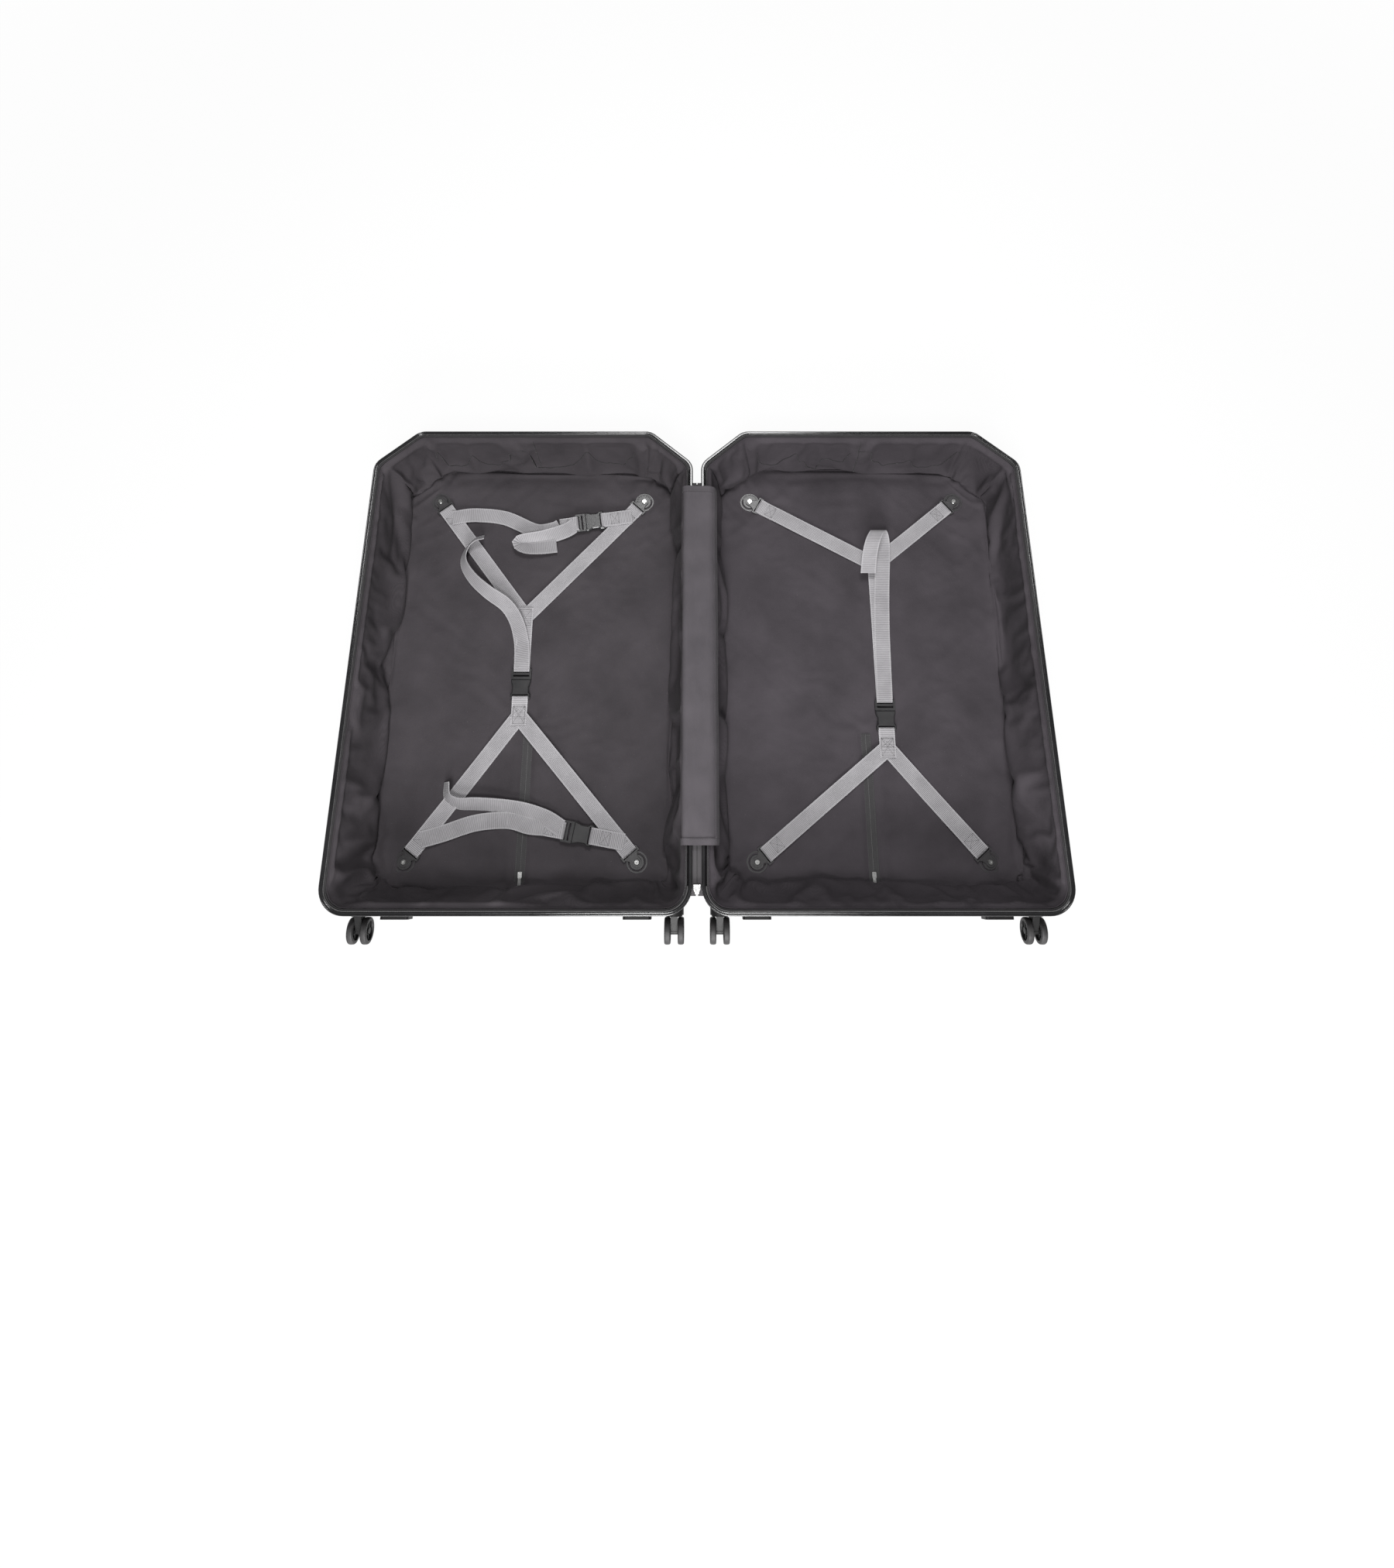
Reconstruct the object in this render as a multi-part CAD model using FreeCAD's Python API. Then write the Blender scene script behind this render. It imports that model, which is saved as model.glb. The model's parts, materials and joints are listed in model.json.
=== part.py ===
"""Hard-shell bicycle travel case, opened flat like a book.

Two shallow polycarbonate halves lie on their backs, open side up, joined along one long side by a
fabric hinge. Millimetres, +Z up, +X across the two halves, +Y towards the end with the cut corners.
Every piece is drawn in the lid's half, with x measured from the hinge axis, y from the middle of the
rim and z from the floor. The base is the mirror image of the lid.
"""
import FreeCAD, Part
import math
import os

Vector = FreeCAD.Vector
X_AXIS = Vector(1, 0, 0)
Y_AXIS = Vector(0, 1, 0)
Z_AXIS = Vector(0, 0, 1)

# Rim outline of one half
HALF_WIDTH = 790.0
HALF_LENGTH = 1130.0
HINGE_GAP = 20.0
CORNER_CUT_X = 105.0
CORNER_CUT_Y = 88.0
CORNER_CUT_ROUND = 40.0
NEAR_CORNER_ROUND = 60.0

# Heights and shell wall
PARTING_HEIGHT = 165.0
EDGE_DROP = 7.0
WALL = 2.4
WALL_DRAFT = 20.0
FLOOR_ROUND = 28.0
SEAT_CLEARANCE = 0.3

# Moulded ribs on the back
RIB_HEIGHT = 3.0
RIB_WIDTH = 26.0
RIB_PITCH = 100.0
RIB_COUNT = 5
RIB_NEAR_MARGIN = 135.0
RIB_FAR_MARGIN = 165.0
RIB_CHAMFER = 1.4

# Edge trim clipped over the shell's edge
TRIM_LIP = 2.5
TRIM_WIDTH = 8.5
TRIM_TOP_DROP = 1.5
TRIM_HEIGHT = 10.5
TRIM_ROUND = 1.4
TRIM_CLEARANCE = 0.2
TRIM_INNER_LIP = 2.0

# Zip sewn inside the trim
TAPE_THICKNESS = 1.2
TAPE_HEIGHT = 19.0
COIL_WIDTH = 2.6
COIL_HEIGHT = 3.6
COIL_DROP = 0.4
ZIP_NEAR_MARGIN = 60.0
ZIP_FAR_MARGIN = 113.0

# Liner
LINER_THICKNESS = 1.5
LINER_TOP_DROP = 5.0
LINER_FLOOR_GAP = 0.5
LINER_WALL_GAP = 1.5

# Zip in the liner's floor, with its slider
LINER_ZIP_MARGIN = 60.0
LINER_ZIP_LENGTH = 340.0
LINER_TAPE_WIDTH = 26.0
LINER_TAPE_THICKNESS = 0.8
LINER_COIL_WIDTH = 5.0
LINER_COIL_HEIGHT = 1.6
LINER_SLIDER_WIDTH = 9.0
LINER_SLIDER_LENGTH = 14.0
LINER_SLIDER_HEIGHT = 3.0
LINER_SLIDER_START = 19.0
PULL_WIDTH = 7.0
PULL_LENGTH = 24.0
PULL_THICKNESS = 1.6
PULL_HOLE_RADIUS = 1.8

# Strap anchors
ANCHOR_SIDE_MARGIN = 128.0
ANCHOR_FAR_MARGIN = 129.0
ANCHOR_NEAR_MARGIN = 107.0
DISC_RADIUS = 25.0
DISC_FLANGE = 2.4
DISC_GROOVE_DEPTH = 0.9
DISC_GROOVE_WIDTH = 2.8
DISC_STEP_RADIUS = 18.0
DISC_HEIGHT = 4.8
RIVET_RADIUS = 4.0
RIVET_HEAD_RADIUS = 6.2
RIVET_HEAD = 2.0
RIVET_BORE_RADIUS = 2.0
RIVET_BORE_DEPTH = 3.0
RIVET_TAIL_RADIUS = 7.0
RIVET_TAIL = 1.6
RIVET_CLEARANCE = 0.08

# Loop that pivots on each anchor
LOOP_THICKNESS = 3.6
LOOP_EYE_RADIUS = 10.5
LOOP_PLATE_END = 21.5
LOOP_NECK_X = 11.0
LOOP_NECK_HALF = 11.5
LOOP_EAR = 3.0
LOOP_POCKET_DEPTH = 1.2
LOOP_POCKET_RIM = 2.4

# Webbing, and the bars that it folds round
STRAP_WIDTH = 38.0
STRAP_THICKNESS = 1.8
STRAP_SIDE_CLEARANCE = 0.6
BAR_WIDTH = 5.0
BAR_THICKNESS = 3.6
BAR_SLOT = 4.5
FOLD_TAPER = 20.0
FOLD_SEWN = 24.0
TAIL_LENGTH = 250.0

# Harness of each half: the middle strap's way from the middle of the half, and the heights of buckle and upper
# join as shares of half the rim's length
LID_HARNESS_SHIFT = 50.0
LID_BUCKLE_SHARE = -0.216
LID_UPPER_JOIN_SHARE = 0.464
BASE_HARNESS_SHIFT = 25.0
BASE_BUCKLE_SHARE = -0.081
BASE_UPPER_JOIN_SHARE = 0.218
LOWER_JOIN_REACH = 78.0

# Tie straps that lie slack across the base: the bend's way from the middle of the half and from the anchors, and
# the buckle's way from the hinge end
FAR_TIE_SHIFT = 15.0
FAR_TIE_SAG = 80.0
NEAR_TIE_SHIFT = 35.0
NEAR_TIE_SAG = 92.0
TIE_BUCKLE_REACH = 100.0

# Side-release buckle
BUCKLE_HALF_LENGTH = 36.0
BUCKLE_WIDTH = 48.0
BUCKLE_WAIST = 40.0
BUCKLE_THICKNESS = 12.0
BUCKLE_BEVEL = 2.0
CAVITY_END_GAP = 2.0
WINDOW_SHIFT = 2.0
SOCKET_END = 10.0
PLUG_THICKNESS = 8.4
PLUG_CLEARANCE = 0.4
PRONG_REACH = 24.0
PRONG_WIDTH = 7.0
TONGUE_WIDTH = 10.0
CAVITY_WIDTH = 34.0
CAVITY_HEIGHT = 7.6
WINDOW_LENGTH = 13.0
WINDOW_WIDTH = 7.0

# Casters on the near wall
CASTER_OUTER_MARGIN = 60.0
CASTER_HINGE_MARGIN = 40.0
CASTER_HEIGHT = 65.0
HOUSING_WIDTH = 76.0
HOUSING_TALL = 84.0
HOUSING_PROUD = -3.0
HOUSING_ROUND = 10.0
FOOT_START = 50.0
FOOT_WIDTH = 62.0
FOOT_TALL = 40.0
FOOT_LINK_PROUD = 2.0
FOOT_PROUD = 11.0
FOOT_ROUND = 6.0
BOSS_RADIUS = 21.0
BOSS_HEIGHT = 5.0
SWIVEL_RADIUS = 18.0
SWIVEL_THICKNESS = 3.0
KINGPIN_RADIUS = 5.0
KINGPIN_LENGTH = 9.0
RUNNING_CLEARANCE = 0.08
SWIVEL_GAP = 0.4
AXLE_DROP = 33.0
AXLE_RADIUS = 3.0
TRAIL = 13.0
FORK_WIDTH = 15.2
FORK_ROOT = 14.0
FORK_BOSS_RADIUS = 8.0
WHEEL_RADIUS = 28.0
WHEEL_WIDTH = 13.5
WHEEL_SIDE_GAP = 0.4
TYRE_DEPTH = 8.0
TYRE_ROUND = 3.5
HUB_RADIUS = 7.0
HUB_RECESS = 1.0
HUB_WEB = 6.0
SPOKE_COUNT = 5
SPOKE_WIDTH = 4.5
SPOKE_WINDOW_MARGIN = 1.5
PIN_END_GAP = 1.0

# Folding carry handles on the base
HANDLE_PIVOT_DROP = 45.0
HANDLE_PIVOT_OUT = -1.0
HANDLE_HALF_SPAN = 96.0
BRACKET_WIDTH = 26.0
BRACKET_TALL = 34.0
BRACKET_PROUD = 6.0
BRACKET_ROUND = 5.0
HANDLE_PIN_RADIUS = 3.0
HANDLE_PIN_LENGTH = 10.0
HANDLE_SIDE_GAP = 0.4
HANDLE_LEG = 10.0
HANDLE_DEPTH = 12.0
GRIP_TALL = 22.0
GRIP_DROP = 48.0
GRIP_ROUND = 4.5

# Fabric hinge, its cover, and the zip slider parked at its near end
GUSSET_THICKNESS = 1.5
GUSSET_DROP = 13.0
GUSSET_NEAR_MARGIN = 47.0
GUSSET_FAR_MARGIN = 135.0
FLAP_NEAR_MARGIN = 142.0
FLAP_FAR_MARGIN = 152.0
FLAP_BASE_REACH = 33.0
FLAP_LID_REACH = 47.0
FLAP_THICKNESS = 2.0
FLAP_RISE = 3.0
FLAP_TUCK = 24.0
SLIDER_WIDTH = 17.0
SLIDER_LENGTH = 19.0
SLIDER_HEIGHT = 9.0
SLIDER_WAIST = 9.0
SLIDER_START = 6.0
LUG_WIDTH = 3.2
LUG_LENGTH = 5.0
LUG_HEIGHT = 4.5
LUG_SIDE_GAP = 0.4
LUG_SINK = 0.5
TAB_WIDTH = 8.0
TAB_LENGTH = 22.0
TAB_PIN_RADIUS = 0.9
TAB_END = 1.5

# Values that follow from the sizes above
EDGE_HEIGHT = PARTING_HEIGHT - EDGE_DROP
DRAFT_SLOPE = WALL_DRAFT / (EDGE_HEIGHT - RIB_HEIGHT)
HALF_MIDDLE_X = HINGE_GAP / 2 + HALF_WIDTH / 2
OUTER_X = HINGE_GAP / 2 + HALF_WIDTH
RIM_FAR_Y = HALF_LENGTH / 2
RIB_NEAR_END = RIB_NEAR_MARGIN - RIM_FAR_Y
RIB_FAR_END = RIM_FAR_Y - RIB_FAR_MARGIN
ZIP_NEAR_END = ZIP_NEAR_MARGIN - RIM_FAR_Y
ZIP_FAR_END = RIM_FAR_Y - ZIP_FAR_MARGIN
LINER_ZIP_NEAR_END = LINER_ZIP_MARGIN - RIM_FAR_Y
LINER_ZIP_FAR_END = LINER_ZIP_NEAR_END + LINER_ZIP_LENGTH
LINER_SLIDER_Y = LINER_ZIP_NEAR_END + LINER_SLIDER_START
ANCHOR_SPREAD = HALF_WIDTH / 2 - ANCHOR_SIDE_MARGIN
ANCHOR_FAR_Y = RIM_FAR_Y - ANCHOR_FAR_MARGIN
ANCHOR_NEAR_Y = ANCHOR_NEAR_MARGIN - RIM_FAR_Y
LID_HARNESS_X = HALF_MIDDLE_X + LID_HARNESS_SHIFT
LID_BUCKLE_Y = LID_BUCKLE_SHARE * RIM_FAR_Y
LID_UPPER_JOIN_Y = LID_UPPER_JOIN_SHARE * RIM_FAR_Y
LID_LOWER_JOIN_Y = LID_BUCKLE_Y - LOWER_JOIN_REACH
BASE_HARNESS_X = HALF_MIDDLE_X + BASE_HARNESS_SHIFT
BASE_BUCKLE_Y = BASE_BUCKLE_SHARE * RIM_FAR_Y
BASE_UPPER_JOIN_Y = BASE_UPPER_JOIN_SHARE * RIM_FAR_Y
BASE_LOWER_JOIN_Y = BASE_BUCKLE_Y - LOWER_JOIN_REACH
FAR_TIE_BEND = (HALF_MIDDLE_X + FAR_TIE_SHIFT, ANCHOR_FAR_Y - FAR_TIE_SAG)
NEAR_TIE_BEND = (HALF_MIDDLE_X + NEAR_TIE_SHIFT, ANCHOR_NEAR_Y + NEAR_TIE_SAG)
CASTER_OUTER_X = OUTER_X - CASTER_OUTER_MARGIN
CASTER_HINGE_X = HINGE_GAP / 2 + CASTER_HINGE_MARGIN
HANDLE_PIVOT_Z = PARTING_HEIGHT - HANDLE_PIVOT_DROP
GUSSET_NEAR_END = GUSSET_NEAR_MARGIN - RIM_FAR_Y
GUSSET_FAR_END = RIM_FAR_Y - GUSSET_FAR_MARGIN
FLAP_NEAR_END = FLAP_NEAR_MARGIN - RIM_FAR_Y
FLAP_FAR_END = RIM_FAR_Y - FLAP_FAR_MARGIN
SLIDER_Y = GUSSET_NEAR_END + SLIDER_START
SHELL_FLOOR = RIB_HEIGHT + WALL
LINER_FLOOR = SHELL_FLOOR + LINER_FLOOR_GAP + LINER_THICKNESS
TAPE_INSET = TRIM_WIDTH + COIL_WIDTH / 2 - TAPE_THICKNESS / 2 + SEAT_CLEARANCE
LINER_TOP_INSET = TRIM_WIDTH + COIL_WIDTH / 2 + TAPE_THICKNESS / 2 + 2 * SEAT_CLEARANCE
LOOP_BOTTOM = LINER_FLOOR + DISC_HEIGHT + SEAT_CLEARANCE
LOOP_TOP = LOOP_BOTTOM + LOOP_THICKNESS
BAR_Z = LOOP_BOTTOM + LOOP_THICKNESS / 2
BAR_REACH = LOOP_PLATE_END + BAR_SLOT + BAR_WIDTH / 2
FOLD_RADIUS = BAR_THICKNESS / 2 + SEAT_CLEARANCE + STRAP_THICKNESS + SEAT_CLEARANCE
TIE_Z = BAR_Z + 2 * STRAP_THICKNESS
BUCKLE_BAR_REACH = BUCKLE_HALF_LENGTH - BAR_WIDTH / 2
BOSS_FACE_Y = -(RIM_FAR_Y + HOUSING_PROUD + BOSS_HEIGHT)
AXLE_Y = BOSS_FACE_Y - AXLE_DROP
CASTER_REACH = -(AXLE_Y - WHEEL_RADIUS) - RIM_FAR_Y
HANDLE_REACH = BRACKET_PROUD
RIM_MIDDLE_Y = (CASTER_REACH - HANDLE_REACH) / 2
HINGE_X = HANDLE_REACH / 2


def offset_corners(inset):
    """Six corners of the rim outline moved inwards, anticlockwise from the hinge's near end."""
    low_x = HINGE_GAP / 2 + inset
    high_x = OUTER_X - inset
    low_y = -RIM_FAR_Y + inset
    high_y = RIM_FAR_Y - inset
    slant = math.hypot(CORNER_CUT_X, CORNER_CUT_Y)
    shift_y = inset * (slant - CORNER_CUT_Y) / CORNER_CUT_X
    shift_x = inset * (slant - CORNER_CUT_X) / CORNER_CUT_Y
    cut_y = RIM_FAR_Y - CORNER_CUT_Y - shift_y
    cut_x = CORNER_CUT_X + shift_x
    return [
        (low_x, low_y),
        (high_x, low_y),
        (high_x, cut_y),
        (OUTER_X - cut_x, high_y),
        (HINGE_GAP / 2 + cut_x, high_y),
        (low_x, cut_y),
    ]


def rounded_wire(corners, radii, z):
    """Closed wire through the corners, each rounded by its own radius."""
    starts = []
    middles = []
    ends = []
    count = len(corners)
    for index in range(count):
        corner = Vector(*corners[index], z)
        back = (Vector(*corners[index - 1], z) - corner).normalize()
        ahead = (Vector(*corners[(index + 1) % count], z) - corner).normalize()
        half_angle = back.getAngle(ahead) / 2
        towards_centre = (back + ahead).normalize()
        run = radii[index] / math.tan(half_angle)
        reach = radii[index] / math.sin(half_angle) - radii[index]
        starts.append(corner + back * run)
        middles.append(corner + towards_centre * reach)
        ends.append(corner + ahead * run)
    edges = []
    for index in range(count):
        edges.append(Part.Arc(starts[index], middles[index], ends[index]).toShape())
        edges.append(Part.LineSegment(ends[index], starts[(index + 1) % count]).toShape())
    return Part.Wire(edges)


def rim_wire(inset, z):
    """The rim outline moved inwards, at a height."""
    near = NEAR_CORNER_ROUND - inset
    far = CORNER_CUT_ROUND - inset
    return rounded_wire(offset_corners(inset), [near, near, far, far, far, far], z)


def rim_prism(inset, low, high):
    """Upright prism of the rim outline."""
    return Part.Face(rim_wire(inset, low)).extrude(Vector(0, 0, high - low))


def rim_ring(outer_inset, inner_inset, low, high):
    """Upright ring that follows the rim between two insets."""
    return rim_prism(outer_inset, low, high).cut(rim_prism(inner_inset, low - 1, high + 1))


def box(x_range, y_range, z_range):
    """Box between two corners given as ranges."""
    size = [pair[1] - pair[0] for pair in (x_range, y_range, z_range)]
    return Part.makeBox(*size, Vector(x_range[0], y_range[0], z_range[0]))


def polygon_prism(points, vector):
    """Prism of a flat polygon."""
    wire = Part.makePolygon(points + points[:1])
    return Part.Face(wire).extrude(vector)


def edges_at_height(shape, z):
    """Edges that lie in one level plane."""
    return [edge for edge in shape.Edges if all(abs(v.Z - z) < 1e-4 for v in edge.Vertexes)]


def edges_along(shape, direction):
    """Straight edges that run along a direction."""
    straight = [edge for edge in shape.Edges if isinstance(edge.Curve, Part.Line)]
    return [edge for edge in straight if abs(edge.Curve.Direction.dot(direction)) > 0.999]


def drafted_block(top_z, bottom_z, top_inset, slope, floor_round):
    """Solid tray form with sloping walls and a rounded floor edge."""
    bottom_inset = top_inset + slope * (top_z - bottom_z)
    wires = [rim_wire(bottom_inset, bottom_z), rim_wire(top_inset, top_z)]
    block = Part.makeLoft(wires, True, True)
    return block.makeFillet(floor_round, edges_at_height(block, bottom_z))


def anchor_places():
    """Rivet centres of one half, by name."""
    return {
        "far_outer": Vector(HALF_MIDDLE_X + ANCHOR_SPREAD, ANCHOR_FAR_Y, 0),
        "far_hinge": Vector(HALF_MIDDLE_X - ANCHOR_SPREAD, ANCHOR_FAR_Y, 0),
        "near_outer": Vector(HALF_MIDDLE_X + ANCHOR_SPREAD, ANCHOR_NEAR_Y, 0),
        "near_hinge": Vector(HALF_MIDDLE_X - ANCHOR_SPREAD, ANCHOR_NEAR_Y, 0),
    }


def shell_outside():
    """Outer form of a shell, solid."""
    return drafted_block(EDGE_HEIGHT, RIB_HEIGHT, TRIM_LIP, DRAFT_SLOPE, FLOOR_ROUND)


def back_rib(x):
    """One moulded rib with round ends, chamfered where it meets the floor."""
    radius = RIB_WIDTH / 2
    body = box((x - radius, x + radius), (RIB_NEAR_END, RIB_FAR_END), (0, RIB_HEIGHT))
    for y in (RIB_NEAR_END, RIB_FAR_END):
        body = body.fuse(Part.makeCylinder(radius, RIB_HEIGHT, Vector(x, y, 0)))
    body = body.removeSplitter()
    return body.makeChamfer(RIB_CHAMFER, edges_at_height(body, 0))


def shell():
    """Thin tray with drafted walls, ribs on its back and rivet holes."""
    mouth = EDGE_HEIGHT + EDGE_DROP
    mouth_inset = TRIM_LIP + WALL - DRAFT_SLOPE * EDGE_DROP
    hollow = drafted_block(mouth, SHELL_FLOOR, mouth_inset, DRAFT_SLOPE, FLOOR_ROUND - WALL)
    body = shell_outside().cut(hollow)
    first = HALF_MIDDLE_X - RIB_PITCH * (RIB_COUNT - 1) / 2
    body = body.fuse([back_rib(first + RIB_PITCH * index) for index in range(RIB_COUNT)])
    for place in anchor_places().values():
        body = body.cut(Part.makeCylinder(RIVET_RADIUS + RIVET_CLEARANCE, SHELL_FLOOR, place))
    return body.removeSplitter()


def edge_trim():
    """Bead with a groove underneath that grips the shell's edge."""
    top = PARTING_HEIGHT - TRIM_TOP_DROP
    low = top - TRIM_HEIGHT
    bead = rim_ring(0, TRIM_WIDTH, low, top)
    bead = bead.makeFillet(TRIM_ROUND, edges_at_height(bead, top))
    groove_high = EDGE_HEIGHT + TRIM_CLEARANCE
    groove = rim_ring(TRIM_LIP - TRIM_CLEARANCE, TRIM_WIDTH - TRIM_INNER_LIP, low - 1, groove_high)
    return bead.cut(groove)


def zip_tape():
    """Tape with the coil on its edge, all round but for the hinge side."""
    top = PARTING_HEIGHT - COIL_DROP
    tape = rim_ring(TAPE_INSET, TAPE_INSET + TAPE_THICKNESS, top - TAPE_HEIGHT, top - COIL_HEIGHT / 2)
    coil_inset = TAPE_INSET + TAPE_THICKNESS / 2 - COIL_WIDTH / 2
    coil = rim_ring(coil_inset, coil_inset + COIL_WIDTH, top - COIL_HEIGHT, top)
    whole = tape.fuse(coil)
    hinge_side = HINGE_GAP / 2 + coil_inset + 2 * COIL_WIDTH
    return whole.cut(box((0, hinge_side), (ZIP_NEAR_END, ZIP_FAR_END), (0, 2 * PARTING_HEIGHT)))


def liner():
    """Loose fabric tray that hangs inside the shell from the zip tape."""
    top = PARTING_HEIGHT - LINER_TOP_DROP
    low = SHELL_FLOOR + LINER_FLOOR_GAP
    foot_inset = TRIM_LIP + WALL + DRAFT_SLOPE * (EDGE_HEIGHT - low) + LINER_WALL_GAP
    slope = (foot_inset - LINER_TOP_INSET) / (top - low)
    outside = drafted_block(top, low, LINER_TOP_INSET, slope, FLOOR_ROUND)
    mouth = top + LINER_TOP_DROP
    mouth_inset = LINER_TOP_INSET + LINER_THICKNESS - slope * LINER_TOP_DROP
    inside = drafted_block(mouth, LINER_FLOOR, mouth_inset, slope, FLOOR_ROUND - LINER_THICKNESS)
    body = outside.cut(inside)
    for place in anchor_places().values():
        hole = Part.makeCylinder(RIVET_RADIUS + 2 * RIVET_CLEARANCE, LINER_FLOOR + 1, place)
        body = body.cut(hole)
    return body


def liner_zip():
    """Flat tape and raised coil along the middle of the liner's floor."""
    y_range = (LINER_ZIP_NEAR_END, LINER_ZIP_FAR_END)
    half_tape = LINER_TAPE_WIDTH / 2
    half_coil = LINER_COIL_WIDTH / 2
    tape_top = LINER_FLOOR + LINER_TAPE_THICKNESS
    tape = box((HALF_MIDDLE_X - half_tape, HALF_MIDDLE_X + half_tape), y_range, (LINER_FLOOR, tape_top))
    coil_top = LINER_FLOOR + LINER_COIL_HEIGHT
    coil = box((HALF_MIDDLE_X - half_coil, HALF_MIDDLE_X + half_coil), y_range, (LINER_FLOOR, coil_top))
    return tape.fuse(coil).removeSplitter()


def liner_slider():
    """Zip slider on the coil, with its pull tab lying towards the near end."""
    low = LINER_FLOOR + LINER_COIL_HEIGHT + SEAT_CLEARANCE
    half = LINER_SLIDER_WIDTH / 2
    y_range = (LINER_SLIDER_Y - LINER_SLIDER_LENGTH / 2, LINER_SLIDER_Y + LINER_SLIDER_LENGTH / 2)
    body = box((HALF_MIDDLE_X - half, HALF_MIDDLE_X + half), y_range, (low, low + LINER_SLIDER_HEIGHT))
    body = body.makeFillet(half / 3, edges_along(body, Z_AXIS))
    tab_high = low + LINER_SLIDER_HEIGHT
    tab_range = (y_range[0] - PULL_LENGTH, y_range[0] + LINER_SLIDER_LENGTH / 2)
    tab_x = (HALF_MIDDLE_X - PULL_WIDTH / 2, HALF_MIDDLE_X + PULL_WIDTH / 2)
    tab = box(tab_x, tab_range, (tab_high - PULL_THICKNESS, tab_high))
    hole_place = Vector(HALF_MIDDLE_X, tab_range[0] + PULL_WIDTH / 2, 0)
    tab = tab.cut(Part.makeCylinder(PULL_HOLE_RADIUS, 2 * tab_high, hole_place))
    return body.fuse(tab).removeSplitter()


def revolved(profile, axis):
    """Solid of revolution of a polygon of (radius, height) points about an axis through the origin."""
    if axis is Z_AXIS:
        points = [Vector(radius, 0, height) for radius, height in profile]
    else:
        points = [Vector(height, 0, radius) for radius, height in profile]
    face = Part.Face(Part.makePolygon(points + points[:1]))
    return face.revolve(Vector(0, 0, 0), axis, 360)


def anchor_disc():
    """Round seat with a stepped middle and a ring groove, on the liner's floor."""
    hole = RIVET_RADIUS + RIVET_CLEARANCE
    groove_out = DISC_STEP_RADIUS + DISC_GROOVE_WIDTH
    bevel = DISC_FLANGE / 3
    groove_z = DISC_FLANGE - DISC_GROOVE_DEPTH
    profile = [
        (hole, 0),
        (DISC_RADIUS, 0),
        (DISC_RADIUS, DISC_FLANGE - bevel),
        (DISC_RADIUS - bevel, DISC_FLANGE),
        (groove_out, DISC_FLANGE),
        (groove_out - bevel, groove_z),
        (DISC_STEP_RADIUS, groove_z),
        (DISC_STEP_RADIUS - 2 * bevel, DISC_HEIGHT),
        (hole, DISC_HEIGHT),
    ]
    return revolved(profile, Z_AXIS).translated(Vector(0, 0, LINER_FLOOR))


def anchor_rivet():
    """Tubular rivet through loop, disc, liner and shell, with a clinched tail outside."""
    head_low = LOOP_TOP + SEAT_CLEARANCE
    head_high = head_low + RIVET_HEAD
    bevel = RIVET_HEAD / 2
    profile = [
        (0, RIB_HEIGHT - RIVET_TAIL),
        (RIVET_TAIL_RADIUS, RIB_HEIGHT - RIVET_TAIL),
        (RIVET_TAIL_RADIUS, RIB_HEIGHT),
        (RIVET_RADIUS, RIB_HEIGHT),
        (RIVET_RADIUS, head_low),
        (RIVET_HEAD_RADIUS, head_low),
        (RIVET_HEAD_RADIUS, head_high - bevel),
        (RIVET_HEAD_RADIUS - bevel, head_high),
        (RIVET_BORE_RADIUS, head_high),
        (RIVET_BORE_RADIUS, head_high - RIVET_BORE_DEPTH),
        (0, head_high - RIVET_BORE_DEPTH),
    ]
    return revolved(profile, Z_AXIS)


def loop_outline(grow, z):
    """Plate of the loop in plan: an eye that flares through a curved neck to the strap slot."""
    half_end = STRAP_WIDTH / 2 + STRAP_SIDE_CLEARANCE + LOOP_EAR + grow
    eye = LOOP_EYE_RADIUS + grow
    end_x = LOOP_PLATE_END + grow
    neck = LOOP_NECK_HALF + grow
    left = Vector(0, eye, z)
    right = Vector(0, -eye, z)
    corner_left = Vector(end_x, half_end, z)
    corner_right = Vector(end_x, -half_end, z)
    edges = [
        Part.Arc(left, Vector(-eye, 0, z), right).toShape(),
        Part.Arc(right, Vector(LOOP_NECK_X, -neck, z), corner_right).toShape(),
        Part.LineSegment(corner_right, corner_left).toShape(),
        Part.Arc(corner_left, Vector(LOOP_NECK_X, neck, z), left).toShape(),
    ]
    return Part.Face(Part.Wire(edges))


def anchor_loop(angle):
    """Triangular loop that turns on the rivet, drawn towards +X and turned to its strap."""
    half_slot = STRAP_WIDTH / 2 + STRAP_SIDE_CLEARANCE
    half_end = half_slot + LOOP_EAR
    z_range = (LOOP_BOTTOM, LOOP_TOP)
    plate = loop_outline(0, LOOP_BOTTOM).extrude(Vector(0, 0, LOOP_THICKNESS))
    end = LOOP_PLATE_END + BAR_SLOT + BAR_WIDTH
    frame = box((LOOP_PLATE_END - LOOP_EAR, end), (-half_end, half_end), z_range)
    frame = frame.cut(box((LOOP_PLATE_END, LOOP_PLATE_END + BAR_SLOT), (-half_slot, half_slot), z_range))
    pocket = loop_outline(-LOOP_POCKET_RIM, LOOP_TOP - LOOP_POCKET_DEPTH)
    pocket = pocket.extrude(Vector(0, 0, 2 * LOOP_POCKET_DEPTH))
    pocket = pocket.cut(Part.makeCylinder(LOOP_EYE_RADIUS - LOOP_POCKET_RIM, 2 * LOOP_TOP))
    body = plate.fuse(frame).cut(pocket)
    body = body.cut(Part.makeCylinder(RIVET_RADIUS + RIVET_CLEARANCE, 2 * LOOP_TOP))
    return body.removeSplitter().rotated(Vector(0, 0, 0), Z_AXIS, angle)


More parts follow.
